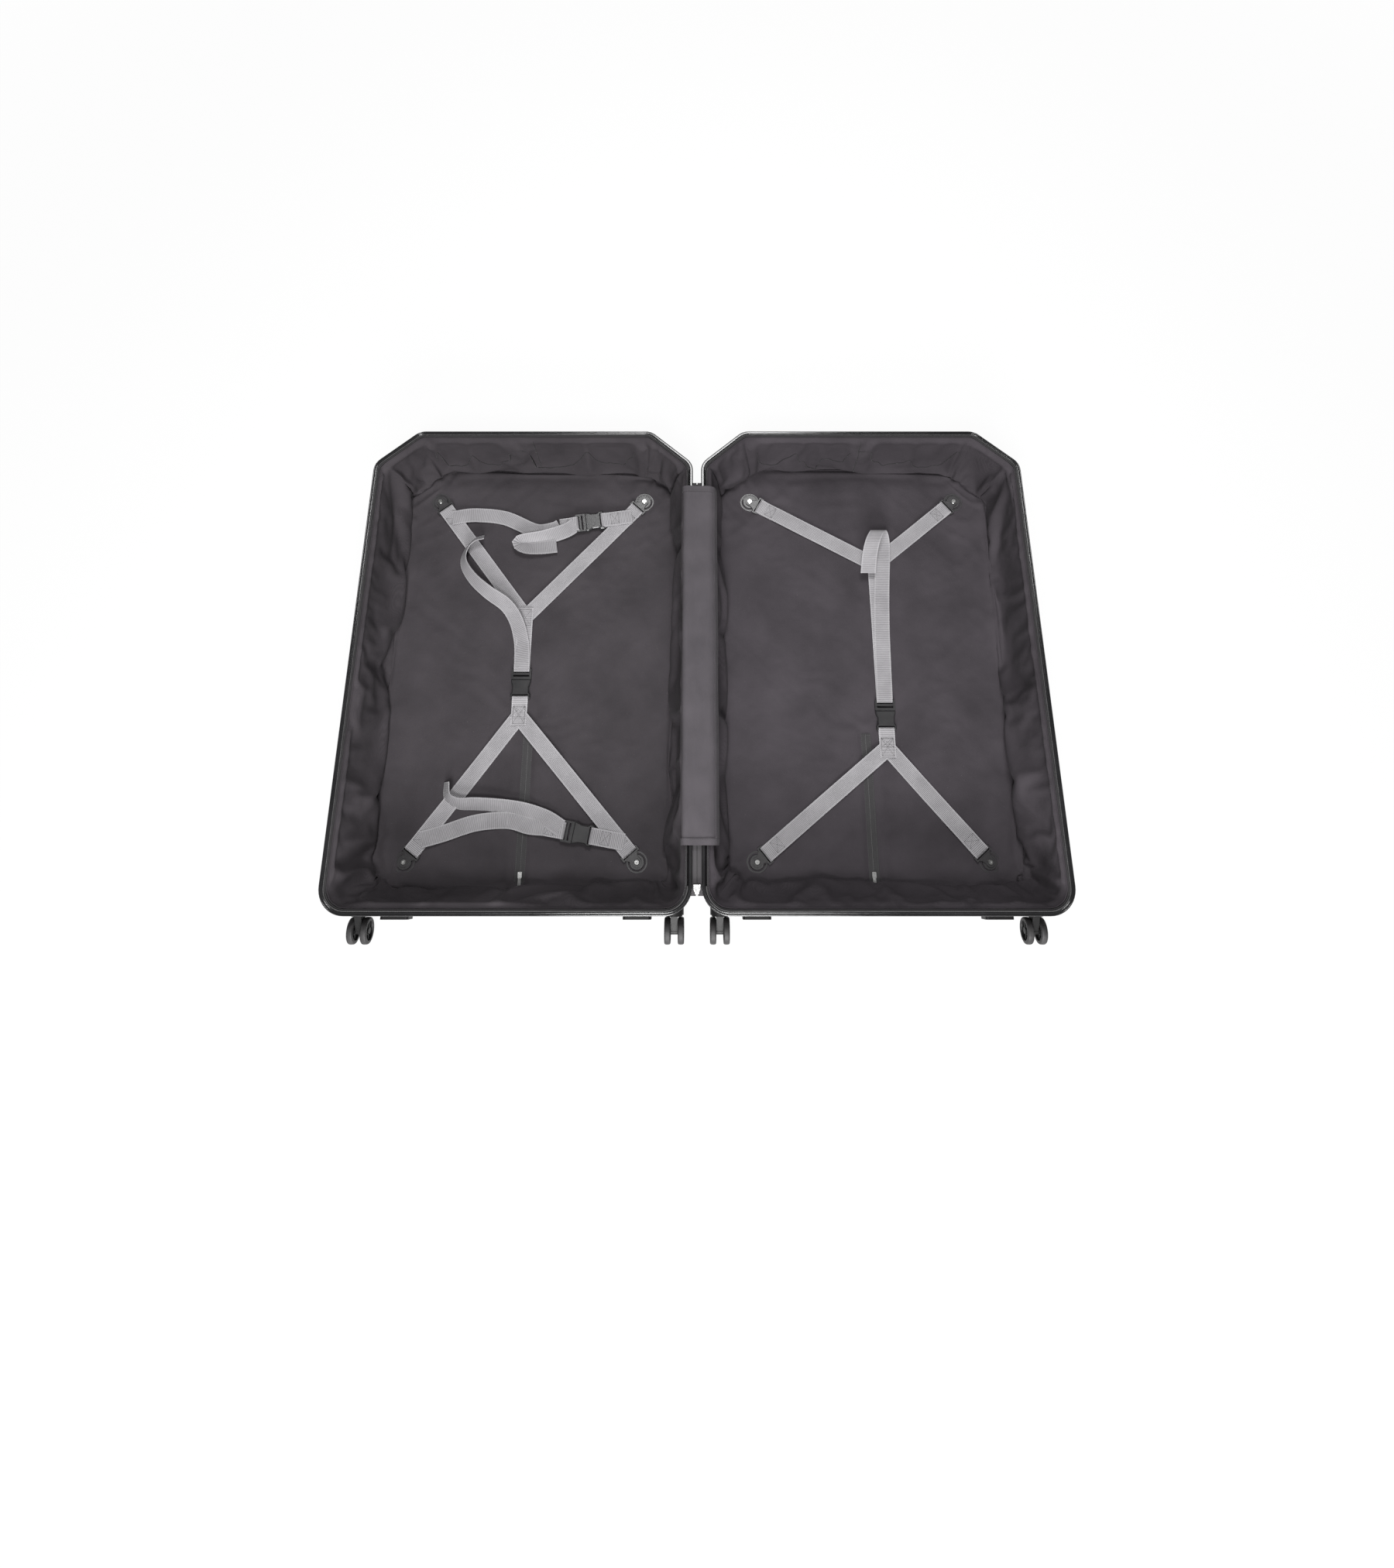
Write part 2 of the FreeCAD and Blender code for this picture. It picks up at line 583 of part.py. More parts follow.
def heading(start, end):
    """Angle of the line between two points, in degrees from +X."""
    return math.degrees(math.atan2(end.y - start.y, end.x - start.x))


def strap_fold():
    """Sewn end of a strap folded round a bar at the origin, running towards +X."""
    half = STRAP_WIDTH / 2
    nose = Part.makeCylinder(FOLD_RADIUS, STRAP_WIDTH, Vector(0, -half, 0), Y_AXIS)
    sewn_end = FOLD_TAPER + FOLD_SEWN
    side = [
        Vector(0, -half, -FOLD_RADIUS),
        Vector(FOLD_TAPER, -half, -STRAP_THICKNESS),
        Vector(sewn_end, -half, -STRAP_THICKNESS),
        Vector(sewn_end, -half, STRAP_THICKNESS),
        Vector(FOLD_TAPER, -half, STRAP_THICKNESS),
        Vector(0, -half, FOLD_RADIUS),
    ]
    body = nose.fuse(polygon_prism(side, Vector(0, STRAP_WIDTH, 0)))
    hole_x = BAR_WIDTH / 2 + SEAT_CLEARANCE
    hole_z = BAR_THICKNESS / 2 + SEAT_CLEARANCE
    return body.cut(box((-hole_x, hole_x), (-half - 1, half + 1), (-hole_z, hole_z)))


def ribbon(points, z):
    """Flat webbing through points in plan, centred on a height."""
    low = z - STRAP_THICKNESS / 2
    pieces = []
    for start, end in zip(points, points[1:]):
        length = math.hypot(end.x - start.x, end.y - start.y)
        piece = box((0, length), (-STRAP_WIDTH / 2, STRAP_WIDTH / 2), (low, low + STRAP_THICKNESS))
        piece.rotate(Vector(0, 0, 0), Z_AXIS, heading(start, end))
        pieces.append(piece.translated(Vector(start.x, start.y, 0)))
    for corner in points[1:-1]:
        place = Vector(corner.x, corner.y, low)
        pieces.append(Part.makeCylinder(STRAP_WIDTH / 2, STRAP_THICKNESS, place))
    body = pieces[0]
    return body.fuse(pieces[1:]) if pieces[1:] else body


def strap_from_bar(bar, towards, z):
    """Folded end at a bar and webbing on to a point."""
    fold = strap_fold().rotated(Vector(0, 0, 0), Z_AXIS, heading(bar, towards))
    fold = fold.translated(Vector(bar.x, bar.y, z))
    along = (towards - bar).normalize()
    start = bar + along * (FOLD_TAPER + FOLD_SEWN / 2)
    return fold.fuse(ribbon([start, towards], z))


def anchor_bar(anchor, towards):
    """Middle of the loop's bar at an anchor, for a strap that leads to a point."""
    return anchor + (towards - anchor).normalize() * BAR_REACH


def harness(side):
    """Place of the middle strap, buckle and joins of a half's harness."""
    if side == "lid":
        return LID_HARNESS_X, LID_BUCKLE_Y, LID_UPPER_JOIN_Y, LID_LOWER_JOIN_Y
    return BASE_HARNESS_X, BASE_BUCKLE_Y, BASE_UPPER_JOIN_Y, BASE_LOWER_JOIN_Y


def strap_joins(side):
    """The two points where a half's straps meet."""
    x, _, upper, lower = harness(side)
    return Vector(x, upper, 0), Vector(x, lower, 0)


def strap_upper(side):
    """Two legs from the far anchors, sewn to the middle strap that runs to the buckle's plug."""
    x, buckle_y, _, _ = harness(side)
    join, _ = strap_joins(side)
    anchors = anchor_places()
    body = strap_from_bar(Vector(x, buckle_y + BUCKLE_BAR_REACH, 0), join, BAR_Z)
    for name in ("far_outer", "far_hinge"):
        body = body.fuse(strap_from_bar(anchor_bar(anchors[name], join), join, BAR_Z))
    tail_start = Vector(x, buckle_y + BUCKLE_BAR_REACH + FOLD_TAPER, 0)
    tail_end = Vector(x, min(tail_start.y + TAIL_LENGTH, join.y), 0)
    body = body.fuse(ribbon([tail_start, tail_end], BAR_Z + STRAP_THICKNESS))
    return body.removeSplitter()


def strap_lower(side):
    """Two legs from the near anchors, sewn to the short piece that holds the buckle's socket."""
    x, buckle_y, _, _ = harness(side)
    _, join = strap_joins(side)
    anchors = anchor_places()
    body = strap_from_bar(Vector(x, buckle_y - BUCKLE_BAR_REACH, 0), join, BAR_Z)
    for name in ("near_outer", "near_hinge"):
        body = body.fuse(strap_from_bar(anchor_bar(anchors[name], join), join, BAR_Z))
    return body.removeSplitter()


def tie_route(end):
    """Plan points of a tie strap: on the outer leg, the bend, the buckle, on the hinge-side leg."""
    bend = Vector(*(FAR_TIE_BEND if end == "far" else NEAR_TIE_BEND), 0)
    joins = dict(zip(("far", "near"), strap_joins("base")))
    reach = BAR_REACH + FOLD_TAPER + FOLD_SEWN / 2
    ends = []
    for name in ("outer", "hinge"):
        anchor = anchor_places()[end + "_" + name]
        ends.append(anchor + (joins[end] - anchor).normalize() * reach)
    outer, hinge = ends
    buckle = hinge + (bend - hinge).normalize() * TIE_BUCKLE_REACH
    return outer, bend, buckle, hinge


def tie_strap(end):
    """Slack strap across the base, from the sewn end on one anchor to its buckle, and the short rest."""
    outer, bend, buckle, hinge = tie_route(end)
    along = (hinge - buckle).normalize()
    plug_bar = buckle - along * BUCKLE_BAR_REACH
    socket_bar = buckle + along * BUCKLE_BAR_REACH
    long_piece = strap_from_bar(plug_bar, bend, TIE_Z).fuse(ribbon([outer, bend], TIE_Z))
    bend_low = Vector(bend.x, bend.y, TIE_Z - STRAP_THICKNESS / 2)
    bend_fill = Part.makeCylinder(STRAP_WIDTH / 2, STRAP_THICKNESS, bend_low)
    long_piece = long_piece.fuse(bend_fill).removeSplitter()
    short_piece = strap_from_bar(socket_bar, hinge, TIE_Z).removeSplitter()
    return Part.makeCompound([long_piece, short_piece])


def buckle_socket():
    """Socket, drawn about the buckle's middle with the plug towards +X."""
    half = BUCKLE_WIDTH / 2
    waist = BUCKLE_WAIST / 2
    low = -BUCKLE_THICKNESS / 2
    slot_end = -BUCKLE_HALF_LENGTH + BAR_WIDTH + BAR_SLOT
    window_x = (SOCKET_END - BUCKLE_HALF_LENGTH) / 2
    outline = [
        (-BUCKLE_HALF_LENGTH, half),
        (slot_end, half),
        (slot_end + BAR_WIDTH, waist),
        (window_x + WINDOW_LENGTH / 2, waist),
        (SOCKET_END - BAR_WIDTH, half),
        (SOCKET_END, half),
    ]
    points = [Vector(x, y, low) for x, y in outline]
    points += [Vector(x, -y, low) for x, y in reversed(outline)]
    body = polygon_prism(points, Vector(0, 0, BUCKLE_THICKNESS))
    body = body.makeChamfer(BUCKLE_BEVEL, edges_at_height(body, -low))
    strap_half = STRAP_WIDTH / 2 + STRAP_SIDE_CLEARANCE
    slot_x = (slot_end - BAR_SLOT, slot_end)
    body = body.cut(box(slot_x, (-strap_half, strap_half), (low - 1, 1 - low)))
    bar_x = (-BUCKLE_HALF_LENGTH - 1, slot_end)
    for z_range in ((BAR_THICKNESS / 2, 1 - low), (low - 1, -BAR_THICKNESS / 2)):
        body = body.cut(box(bar_x, (-strap_half, strap_half), z_range))
    cavity_x = (SOCKET_END - PRONG_REACH - CAVITY_END_GAP, SOCKET_END + 1)
    cavity_y = (-CAVITY_WIDTH / 2, CAVITY_WIDTH / 2)
    body = body.cut(box(cavity_x, cavity_y, (-CAVITY_HEIGHT / 2, CAVITY_HEIGHT / 2)))
    window_x = window_x + WINDOW_SHIFT
    window = (window_x - WINDOW_LENGTH / 2, window_x + WINDOW_LENGTH / 2)
    for y_range in ((waist - WINDOW_WIDTH, half + 1), (-half - 1, WINDOW_WIDTH - waist)):
        body = body.cut(box(window, y_range, (-CAVITY_HEIGHT / 2, CAVITY_HEIGHT / 2)))
    return body.removeSplitter()


def buckle_plug():
    """Plug with two adjuster slots, a middle tongue and two prongs inside the socket."""
    half = BUCKLE_WIDTH / 2
    strap_half = STRAP_WIDTH / 2 + STRAP_SIDE_CLEARANCE
    thick = PLUG_THICKNESS / 2
    reach = CAVITY_HEIGHT / 2 - PLUG_CLEARANCE
    start = SOCKET_END + PLUG_CLEARANCE
    body = box((start, BUCKLE_HALF_LENGTH), (-half, half), (-thick, thick))
    body = body.makeFillet(thick / 2, edges_along(body, Z_AXIS))
    slot_x = BUCKLE_HALF_LENGTH - BAR_WIDTH - BAR_SLOT
    slots = [(slot_x, slot_x + BAR_SLOT), (slot_x - BAR_WIDTH - BAR_SLOT, slot_x - BAR_WIDTH)]
    for slot in slots:
        body = body.cut(box(slot, (-strap_half, strap_half), (-thick - 1, thick + 1)))
    bar_x = (slot_x, BUCKLE_HALF_LENGTH + 1)
    for z_range in ((BAR_THICKNESS / 2, thick + 1), (-thick - 1, -BAR_THICKNESS / 2)):
        body = body.cut(box(bar_x, (-strap_half, strap_half), z_range))
    inside = SOCKET_END - PRONG_REACH
    edge = CAVITY_WIDTH / 2 - PLUG_CLEARANCE
    tongue = box((inside, start), (-TONGUE_WIDTH / 2, TONGUE_WIDTH / 2), (-reach, reach))
    prong_ranges = ((edge - PRONG_WIDTH, edge), (-edge, PRONG_WIDTH - edge))
    prongs = [box((inside, start), y_range, (-reach, reach)) for y_range in prong_ranges]
    return body.fuse([tongue] + prongs).removeSplitter()


def set_buckle(piece, place, angle, z):
    """A buckle piece turned along its strap and moved to its place."""
    return piece.rotated(Vector(0, 0, 0), Z_AXIS, angle).translated(Vector(place.x, place.y, z))


def caster_places():
    """x of the two casters of a half and the side on which each one's foot lies."""
    return {"outer": (CASTER_OUTER_X, -1), "hinge": (CASTER_HINGE_X, 1)}


def caster_housing(x, foot_side):
    """Moulded pad within the rim's outline, with a swivel boss and a skid foot, cut to sit on the sloping wall."""
    face_y = -(RIM_FAR_Y + HOUSING_PROUD)
    inner_y = face_y + NEAR_CORNER_ROUND
    half = HOUSING_WIDTH / 2
    z_range = (CASTER_HEIGHT - HOUSING_TALL / 2, CASTER_HEIGHT + HOUSING_TALL / 2)
    pad = box((x - half, x + half), (face_y, inner_y), z_range)
    pad = pad.makeFillet(HOUSING_ROUND, edges_along(pad, Y_AXIS))
    pad = pad.common(rim_prism(-HOUSING_PROUD, 0, PARTING_HEIGHT))
    foot_x = sorted((x + foot_side * FOOT_START, x + foot_side * (FOOT_START + FOOT_WIDTH)))
    foot_z = (CASTER_HEIGHT - FOOT_TALL / 2, CASTER_HEIGHT + FOOT_TALL / 2)
    foot = box(foot_x, (-(RIM_FAR_Y + FOOT_PROUD), inner_y), foot_z)
    foot = foot.makeFillet(FOOT_ROUND, edges_along(foot, Y_AXIS))
    link_x = sorted((x, x + foot_side * (FOOT_START + FOOT_WIDTH / 2)))
    foot = foot.fuse(box(link_x, (face_y + FOOT_LINK_PROUD, inner_y), foot_z))
    boss_length = inner_y - BOSS_FACE_Y
    boss = Part.makeCylinder(BOSS_RADIUS, boss_length, Vector(x, BOSS_FACE_Y, CASTER_HEIGHT), Y_AXIS)
    body = pad.fuse([foot, boss]).cut(shell_outside())
    kingpin_hole = KINGPIN_RADIUS + RUNNING_CLEARANCE
    hole = Part.makeCylinder(kingpin_hole, KINGPIN_LENGTH, Vector(x, BOSS_FACE_Y, CASTER_HEIGHT), Y_AXIS)
    return body.cut(hole).removeSplitter()


def caster_fork(x):
    """Swivel disc, kingpin and blade between the wheels, with the axle pin as its own solid."""
    disc_y = BOSS_FACE_Y - SWIVEL_GAP - SWIVEL_THICKNESS
    disc = Part.makeCylinder(SWIVEL_RADIUS, SWIVEL_THICKNESS, Vector(x, disc_y, CASTER_HEIGHT), Y_AXIS)
    pin_length = SWIVEL_THICKNESS + SWIVEL_GAP + KINGPIN_LENGTH - PIN_END_GAP
    kingpin = Part.makeCylinder(KINGPIN_RADIUS, pin_length, Vector(x, disc_y, CASTER_HEIGHT), Y_AXIS)
    axle_z = CASTER_HEIGHT - TRAIL
    left = x - FORK_WIDTH / 2
    blade_points = [
        Vector(left, disc_y, CASTER_HEIGHT + FORK_ROOT),
        Vector(left, disc_y, CASTER_HEIGHT - FORK_ROOT),
        Vector(left, AXLE_Y, axle_z - FORK_BOSS_RADIUS),
        Vector(left, AXLE_Y, axle_z + FORK_BOSS_RADIUS),
    ]
    blade = polygon_prism(blade_points, Vector(FORK_WIDTH, 0, 0))
    boss = Part.makeCylinder(FORK_BOSS_RADIUS, FORK_WIDTH, Vector(left, AXLE_Y, axle_z), X_AXIS)
    hole = Part.makeCylinder(AXLE_RADIUS, FORK_WIDTH, Vector(left, AXLE_Y, axle_z), X_AXIS)
    fork = disc.fuse([kingpin, blade, boss]).cut(hole).removeSplitter()
    half_axle = FORK_WIDTH / 2 + WHEEL_SIDE_GAP + WHEEL_WIDTH - HUB_RECESS
    axle = Part.makeCylinder(AXLE_RADIUS, 2 * half_axle, Vector(x - half_axle, AXLE_Y, axle_z), X_AXIS)
    return Part.makeCompound([fork, axle])


def caster_wheel(x, side):
    """Spoked wheel on one side of a fork: tyre, web with windows, and hub."""
    half = WHEEL_WIDTH / 2
    rim = WHEEL_RADIUS - TYRE_DEPTH
    bore = AXLE_RADIUS + RUNNING_CLEARANCE
    web = HUB_WEB / 2
    profile = [
        (bore, -half + HUB_RECESS),
        (HUB_RADIUS, -half + HUB_RECESS),
        (HUB_RADIUS, -web),
        (rim, -web),
        (rim + HUB_RECESS, -half),
        (WHEEL_RADIUS - TYRE_ROUND, -half),
        (WHEEL_RADIUS, -half + TYRE_ROUND),
        (WHEEL_RADIUS, half - TYRE_ROUND),
        (WHEEL_RADIUS - TYRE_ROUND, half),
        (rim + HUB_RECESS, half),
        (rim, web),
        (HUB_RADIUS, web),
        (HUB_RADIUS, half - HUB_RECESS),
        (bore, half - HUB_RECESS),
    ]
    body = revolved(profile, X_AXIS)
    spread = math.radians(180 / SPOKE_COUNT)
    low = HUB_RADIUS + SPOKE_WINDOW_MARGIN
    high = rim - SPOKE_WINDOW_MARGIN
    window = []
    for radius, sign in ((low, -1), (high, -1), (high, 1), (low, 1)):
        angle = sign * (spread - SPOKE_WIDTH / 2 / radius)
        window.append(Vector(-half, radius * math.sin(angle), radius * math.cos(angle)))
    cutter = polygon_prism(window, Vector(WHEEL_WIDTH, 0, 0))
    for index in range(SPOKE_COUNT):
        body = body.cut(cutter.rotated(Vector(0, 0, 0), X_AXIS, 360 / SPOKE_COUNT * index))
    offset = FORK_WIDTH / 2 + WHEEL_SIDE_GAP + half
    return body.translated(Vector(x + side * offset, AXLE_Y, CASTER_HEIGHT - TRAIL))


def on_far_wall(piece):
    """Moves a handle piece, drawn with x along the wall and y outwards from the rim, to the far wall."""
    return piece.translated(Vector(HALF_MIDDLE_X, RIM_FAR_Y, 0))


def on_outer_wall(piece):
    """Moves a handle piece to the long wall away from the hinge."""
    return piece.rotated(Vector(0, 0, 0), Z_AXIS, -90).translated(Vector(OUTER_X, 0, 0))


def handle_bracket(side):
    """Block that carries one end of a folding handle."""
    low_x = HANDLE_HALF_SPAN - BRACKET_WIDTH / 2
    z_range = (HANDLE_PIVOT_Z - BRACKET_TALL / 2, HANDLE_PIVOT_Z + BRACKET_TALL / 2)
    body = box((low_x, low_x + BRACKET_WIDTH), (-WALL_DRAFT, BRACKET_PROUD), z_range)
    body = body.makeFillet(BRACKET_ROUND, edges_along(body, Y_AXIS))
    hole_depth = HANDLE_PIN_LENGTH + HANDLE_SIDE_GAP + 1
    pivot = Vector(low_x, HANDLE_PIVOT_OUT, HANDLE_PIVOT_Z)
    body = body.cut(Part.makeCylinder(HANDLE_PIN_RADIUS + RUNNING_CLEARANCE, hole_depth, pivot, X_AXIS))
    return body if side > 0 else body.mirror(Vector(0, 0, 0), X_AXIS)


def handle_brackets():
    """Both brackets of both handles, seated on the shell's sloping walls."""
    outside = shell_outside()
    seated = []
    for move in (on_far_wall, on_outer_wall):
        for side in (1, -1):
            seated.append(move(handle_bracket(side)).cut(outside))
    return Part.makeCompound(seated)


def carry_handle():
    """Bail with a padded grip that hangs against the wall from two pins."""
    half = HANDLE_HALF_SPAN - BRACKET_WIDTH / 2 - HANDLE_SIDE_GAP
    y_range = (HANDLE_PIVOT_OUT - HANDLE_DEPTH / 2, HANDLE_PIVOT_OUT + HANDLE_DEPTH / 2)
    grip_top = HANDLE_PIVOT_Z - GRIP_DROP + GRIP_TALL / 2
    grip = box((-half, half), y_range, (grip_top - GRIP_TALL, grip_top))
    grip = grip.makeFillet(GRIP_ROUND, edges_along(grip, X_AXIS))
    pieces = []
    for side in (1, -1):
        leg_x = sorted((side * half, side * (half - HANDLE_LEG)))
        leg = box(leg_x, y_range, (grip_top - GRIP_TALL / 2, HANDLE_PIVOT_Z))
        eye_place = Vector(leg_x[0], HANDLE_PIVOT_OUT, HANDLE_PIVOT_Z)
        pieces.append(leg)
        pieces.append(Part.makeCylinder(HANDLE_DEPTH / 2, HANDLE_LEG, eye_place, X_AXIS))
        pin_place = Vector(side * (half - HANDLE_LEG), HANDLE_PIVOT_OUT, HANDLE_PIVOT_Z)
        pin_length = HANDLE_LEG + HANDLE_SIDE_GAP + HANDLE_PIN_LENGTH
        pieces.append(Part.makeCylinder(HANDLE_PIN_RADIUS, pin_length, pin_place, X_AXIS * side))
    return grip.fuse(pieces).removeSplitter()


def hinge_gusset():
    """Fabric strip sewn between the two shells under the trims."""
    high = PARTING_HEIGHT - GUSSET_DROP
    wall_x = HINGE_GAP / 2 + TRIM_LIP + DRAFT_SLOPE * (EDGE_HEIGHT - high)
    reach = wall_x - SEAT_CLEARANCE
    return box((-reach, reach), (GUSSET_NEAR_END, GUSSET_FAR_END), (high - GUSSET_THICKNESS, high))


def hinge_flap():
    """Fabric cover over the hinge, tucked down inside the base and lying free over the lid's rim."""
    low = PARTING_HEIGHT - TRIM_TOP_DROP + SEAT_CLEARANCE
    rim_x = HINGE_GAP / 2 + TRIM_WIDTH
    tuck_x = -FLAP_BASE_REACH
    hem_z = PARTING_HEIGHT - COIL_HEIGHT
    section = [
        (tuck_x, low - FLAP_TUCK),
        (tuck_x + FLAP_THICKNESS, low - FLAP_TUCK),
        (tuck_x + FLAP_THICKNESS, low - FLAP_THICKNESS),
        (-rim_x, low),
        (0, low + FLAP_RISE - FLAP_THICKNESS),
        (rim_x + 1, low),
        (FLAP_LID_REACH, hem_z),
        (FLAP_LID_REACH, hem_z + FLAP_THICKNESS),
        (rim_x + 1, low + FLAP_THICKNESS),
        (0, low + FLAP_RISE),
        (-rim_x, low + FLAP_THICKNESS),
        (tuck_x, low),
    ]
    points = [Vector(x, FLAP_NEAR_END, z) for x, z in section]
    return polygon_prism(points, Vector(0, FLAP_FAR_END - FLAP_NEAR_END, 0))


def zip_slider():
    """Metal slider parked on the gusset where the two zip halves part."""
    low = PARTING_HEIGHT - GUSSET_DROP
    half = SLIDER_WIDTH / 2
    waist = SLIDER_WAIST / 2
    front = SLIDER_Y - SLIDER_LENGTH / 2
    back = SLIDER_Y + SLIDER_LENGTH / 2
    points = [
        Vector(-waist, front, low),
        Vector(waist, front, low),
        Vector(half, SLIDER_Y, low),
        Vector(half, back, low),
        Vector(-half, back, low),
        Vector(-half, SLIDER_Y, low),
    ]
    body = polygon_prism(points, Vector(0, 0, SLIDER_HEIGHT))
    body = body.makeFillet(SLIDER_HEIGHT / 6, edges_at_height(body, low + SLIDER_HEIGHT))
    pivot = tab_pivot()
    lug_y = (pivot.y - LUG_LENGTH / 2, pivot.y + LUG_LENGTH / 2)
    lug_z = (pivot.z - LUG_HEIGHT / 2, pivot.z + LUG_HEIGHT / 2)
    body = body.fuse(box((-LUG_WIDTH / 2, LUG_WIDTH / 2), lug_y, lug_z))
    hole_start = Vector(-LUG_WIDTH, pivot.y, pivot.z)
    hole = Part.makeCylinder(TAB_PIN_RADIUS + RUNNING_CLEARANCE, 2 * LUG_WIDTH, hole_start, X_AXIS)
    return body.cut(hole).removeSplitter()


def tab_pivot():
    """Axis of the pull tab, in a lug at the slider's front end."""
    low = PARTING_HEIGHT - GUSSET_DROP
    front = SLIDER_Y - SLIDER_LENGTH / 2
    return Vector(0, front - LUG_LENGTH / 2 + LUG_SINK, low + SLIDER_HEIGHT - LUG_HEIGHT / 2)


def zip_pull():
    """Pull tab that hangs from the lug by a pin between two arms."""
    pivot = tab_pivot()
    slot = LUG_WIDTH / 2 + LUG_SIDE_GAP
    half = TAB_WIDTH / 2
    y_range = (pivot.y - PULL_THICKNESS / 2, pivot.y + PULL_THICKNESS / 2)
    body = box((-half, half), y_range, (pivot.z - TAB_LENGTH, pivot.z + TAB_END))
    body = body.makeFillet(half / 2, edges_along(body, Y_AXIS))
    body = body.cut(box((-slot, slot), y_range, (pivot.z - LUG_HEIGHT, pivot.z + 2 * TAB_END)))
    hole = Vector(0, pivot.y - LUG_LENGTH, pivot.z - TAB_LENGTH + half)
    body = body.cut(Part.makeCylinder(PULL_HOLE_RADIUS, 2 * LUG_LENGTH, hole, Y_AXIS))
    pin_start = Vector(-slot - TAB_PIN_RADIUS, pivot.y, pivot.z)
    pin = Part.makeCylinder(TAB_PIN_RADIUS, 2 * (slot + TAB_PIN_RADIUS), pin_start, X_AXIS)
    return body.fuse(pin).removeSplitter()


def placed(piece, side):
    """A piece of the lid's half, or its mirror image for the base, moved to the part's origin."""
    if side == "base":
        piece = piece.mirror(Vector(0, 0, 0), X_AXIS)
    return piece.translated(Vector(HINGE_X, RIM_MIDDLE_Y, 0))


def at_each(piece, places):
    """Copies of a piece at every place."""
    return Part.makeCompound([piece.translated(place) for place in places.values()])


def half_nodes(side):
    """Every piece that both halves have, by name."""
    x, buckle_y, _, _ = harness(side)
    buckle = Vector(x, buckle_y, 0)
    far_join, near_join = strap_joins(side)
    anchors = anchor_places()
    nodes = {
        "shell": shell(),
        "edge_trim": edge_trim(),
        "zip_tape": zip_tape(),
        "liner": liner(),
        "liner_zip": liner_zip(),
        "liner_zip_slider": liner_slider(),
        "anchor_discs": at_each(anchor_disc(), anchors),
        "anchor_rivets": at_each(anchor_rivet(), anchors),
        "strap_upper": strap_upper(side),
        "strap_lower": strap_lower(side),
        "buckle_socket": set_buckle(buckle_socket(), buckle, 90, BAR_Z),
        "buckle_plug": set_buckle(buckle_plug(), buckle, 90, BAR_Z),
    }
    for name, place in anchors.items():
        join = far_join if name.startswith("far") else near_join
        nodes["anchor_loop_" + name] = anchor_loop(heading(place, join)).translated(place)
    housings = []
    for name, (caster_x, foot_side) in caster_places().items():
        housings.append(caster_housing(caster_x, foot_side))
        nodes["caster_fork_" + name] = caster_fork(caster_x)
        nodes["caster_wheel_" + name + "_a"] = caster_wheel(caster_x, 1)
        nodes["caster_wheel_" + name + "_b"] = caster_wheel(caster_x, -1)
    nodes["caster_housings"] = Part.makeCompound(housings)
    return nodes


def base_nodes():
    """Pieces that only the base has, by name."""
    nodes = {
        "carry_handle_top": on_far_wall(carry_handle()),
        "carry_handle_side": on_outer_wall(carry_handle()),
        "handle_brackets": handle_brackets(),
    }
    for end in ("far", "near"):
        _, _, buckle, hinge = tie_route(end)
        turn = heading(hinge, buckle)
        nodes["tie_strap_" + end] = tie_strap(end)
        nodes["tie_socket_" + end] = set_buckle(buckle_socket(), buckle, turn, TIE_Z)
        nodes["tie_plug_" + end] = set_buckle(buckle_plug(), buckle, turn, TIE_Z)
    return nodes


def hinge_nodes():
    """Pieces that lie across the hinge, drawn with the base on the left."""
    return {
        "hinge_gusset": hinge_gusset(),
        "hinge_flap": hinge_flap(),
        "zip_slider": zip_slider(),
        "zip_pull": zip_pull(),
    }


def write(name, piece):
    """One STEP file for one node."""
    piece.exportStep(os.path.join("parts", name + ".step"))


def main():
    os.makedirs("parts", exist_ok=True)
    for side in ("base", "lid"):
        for name, piece in half_nodes(side).items():
            write(side + "_" + name, placed(piece, side))
    for name, piece in base_nodes().items():
        write(name, placed(piece, "base"))
    for name, piece in hinge_nodes().items():
        write(name, placed(piece, "lid"))


main()
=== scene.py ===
"""Looks of the bicycle travel case: liners, webbing, zips, hems, hinge flap, tyres and finishes."""
import bisect
import json
import math

import bmesh
import bpy
from mathutils import Matrix, Vector, noise
from mathutils.bvhtree import BVHTree


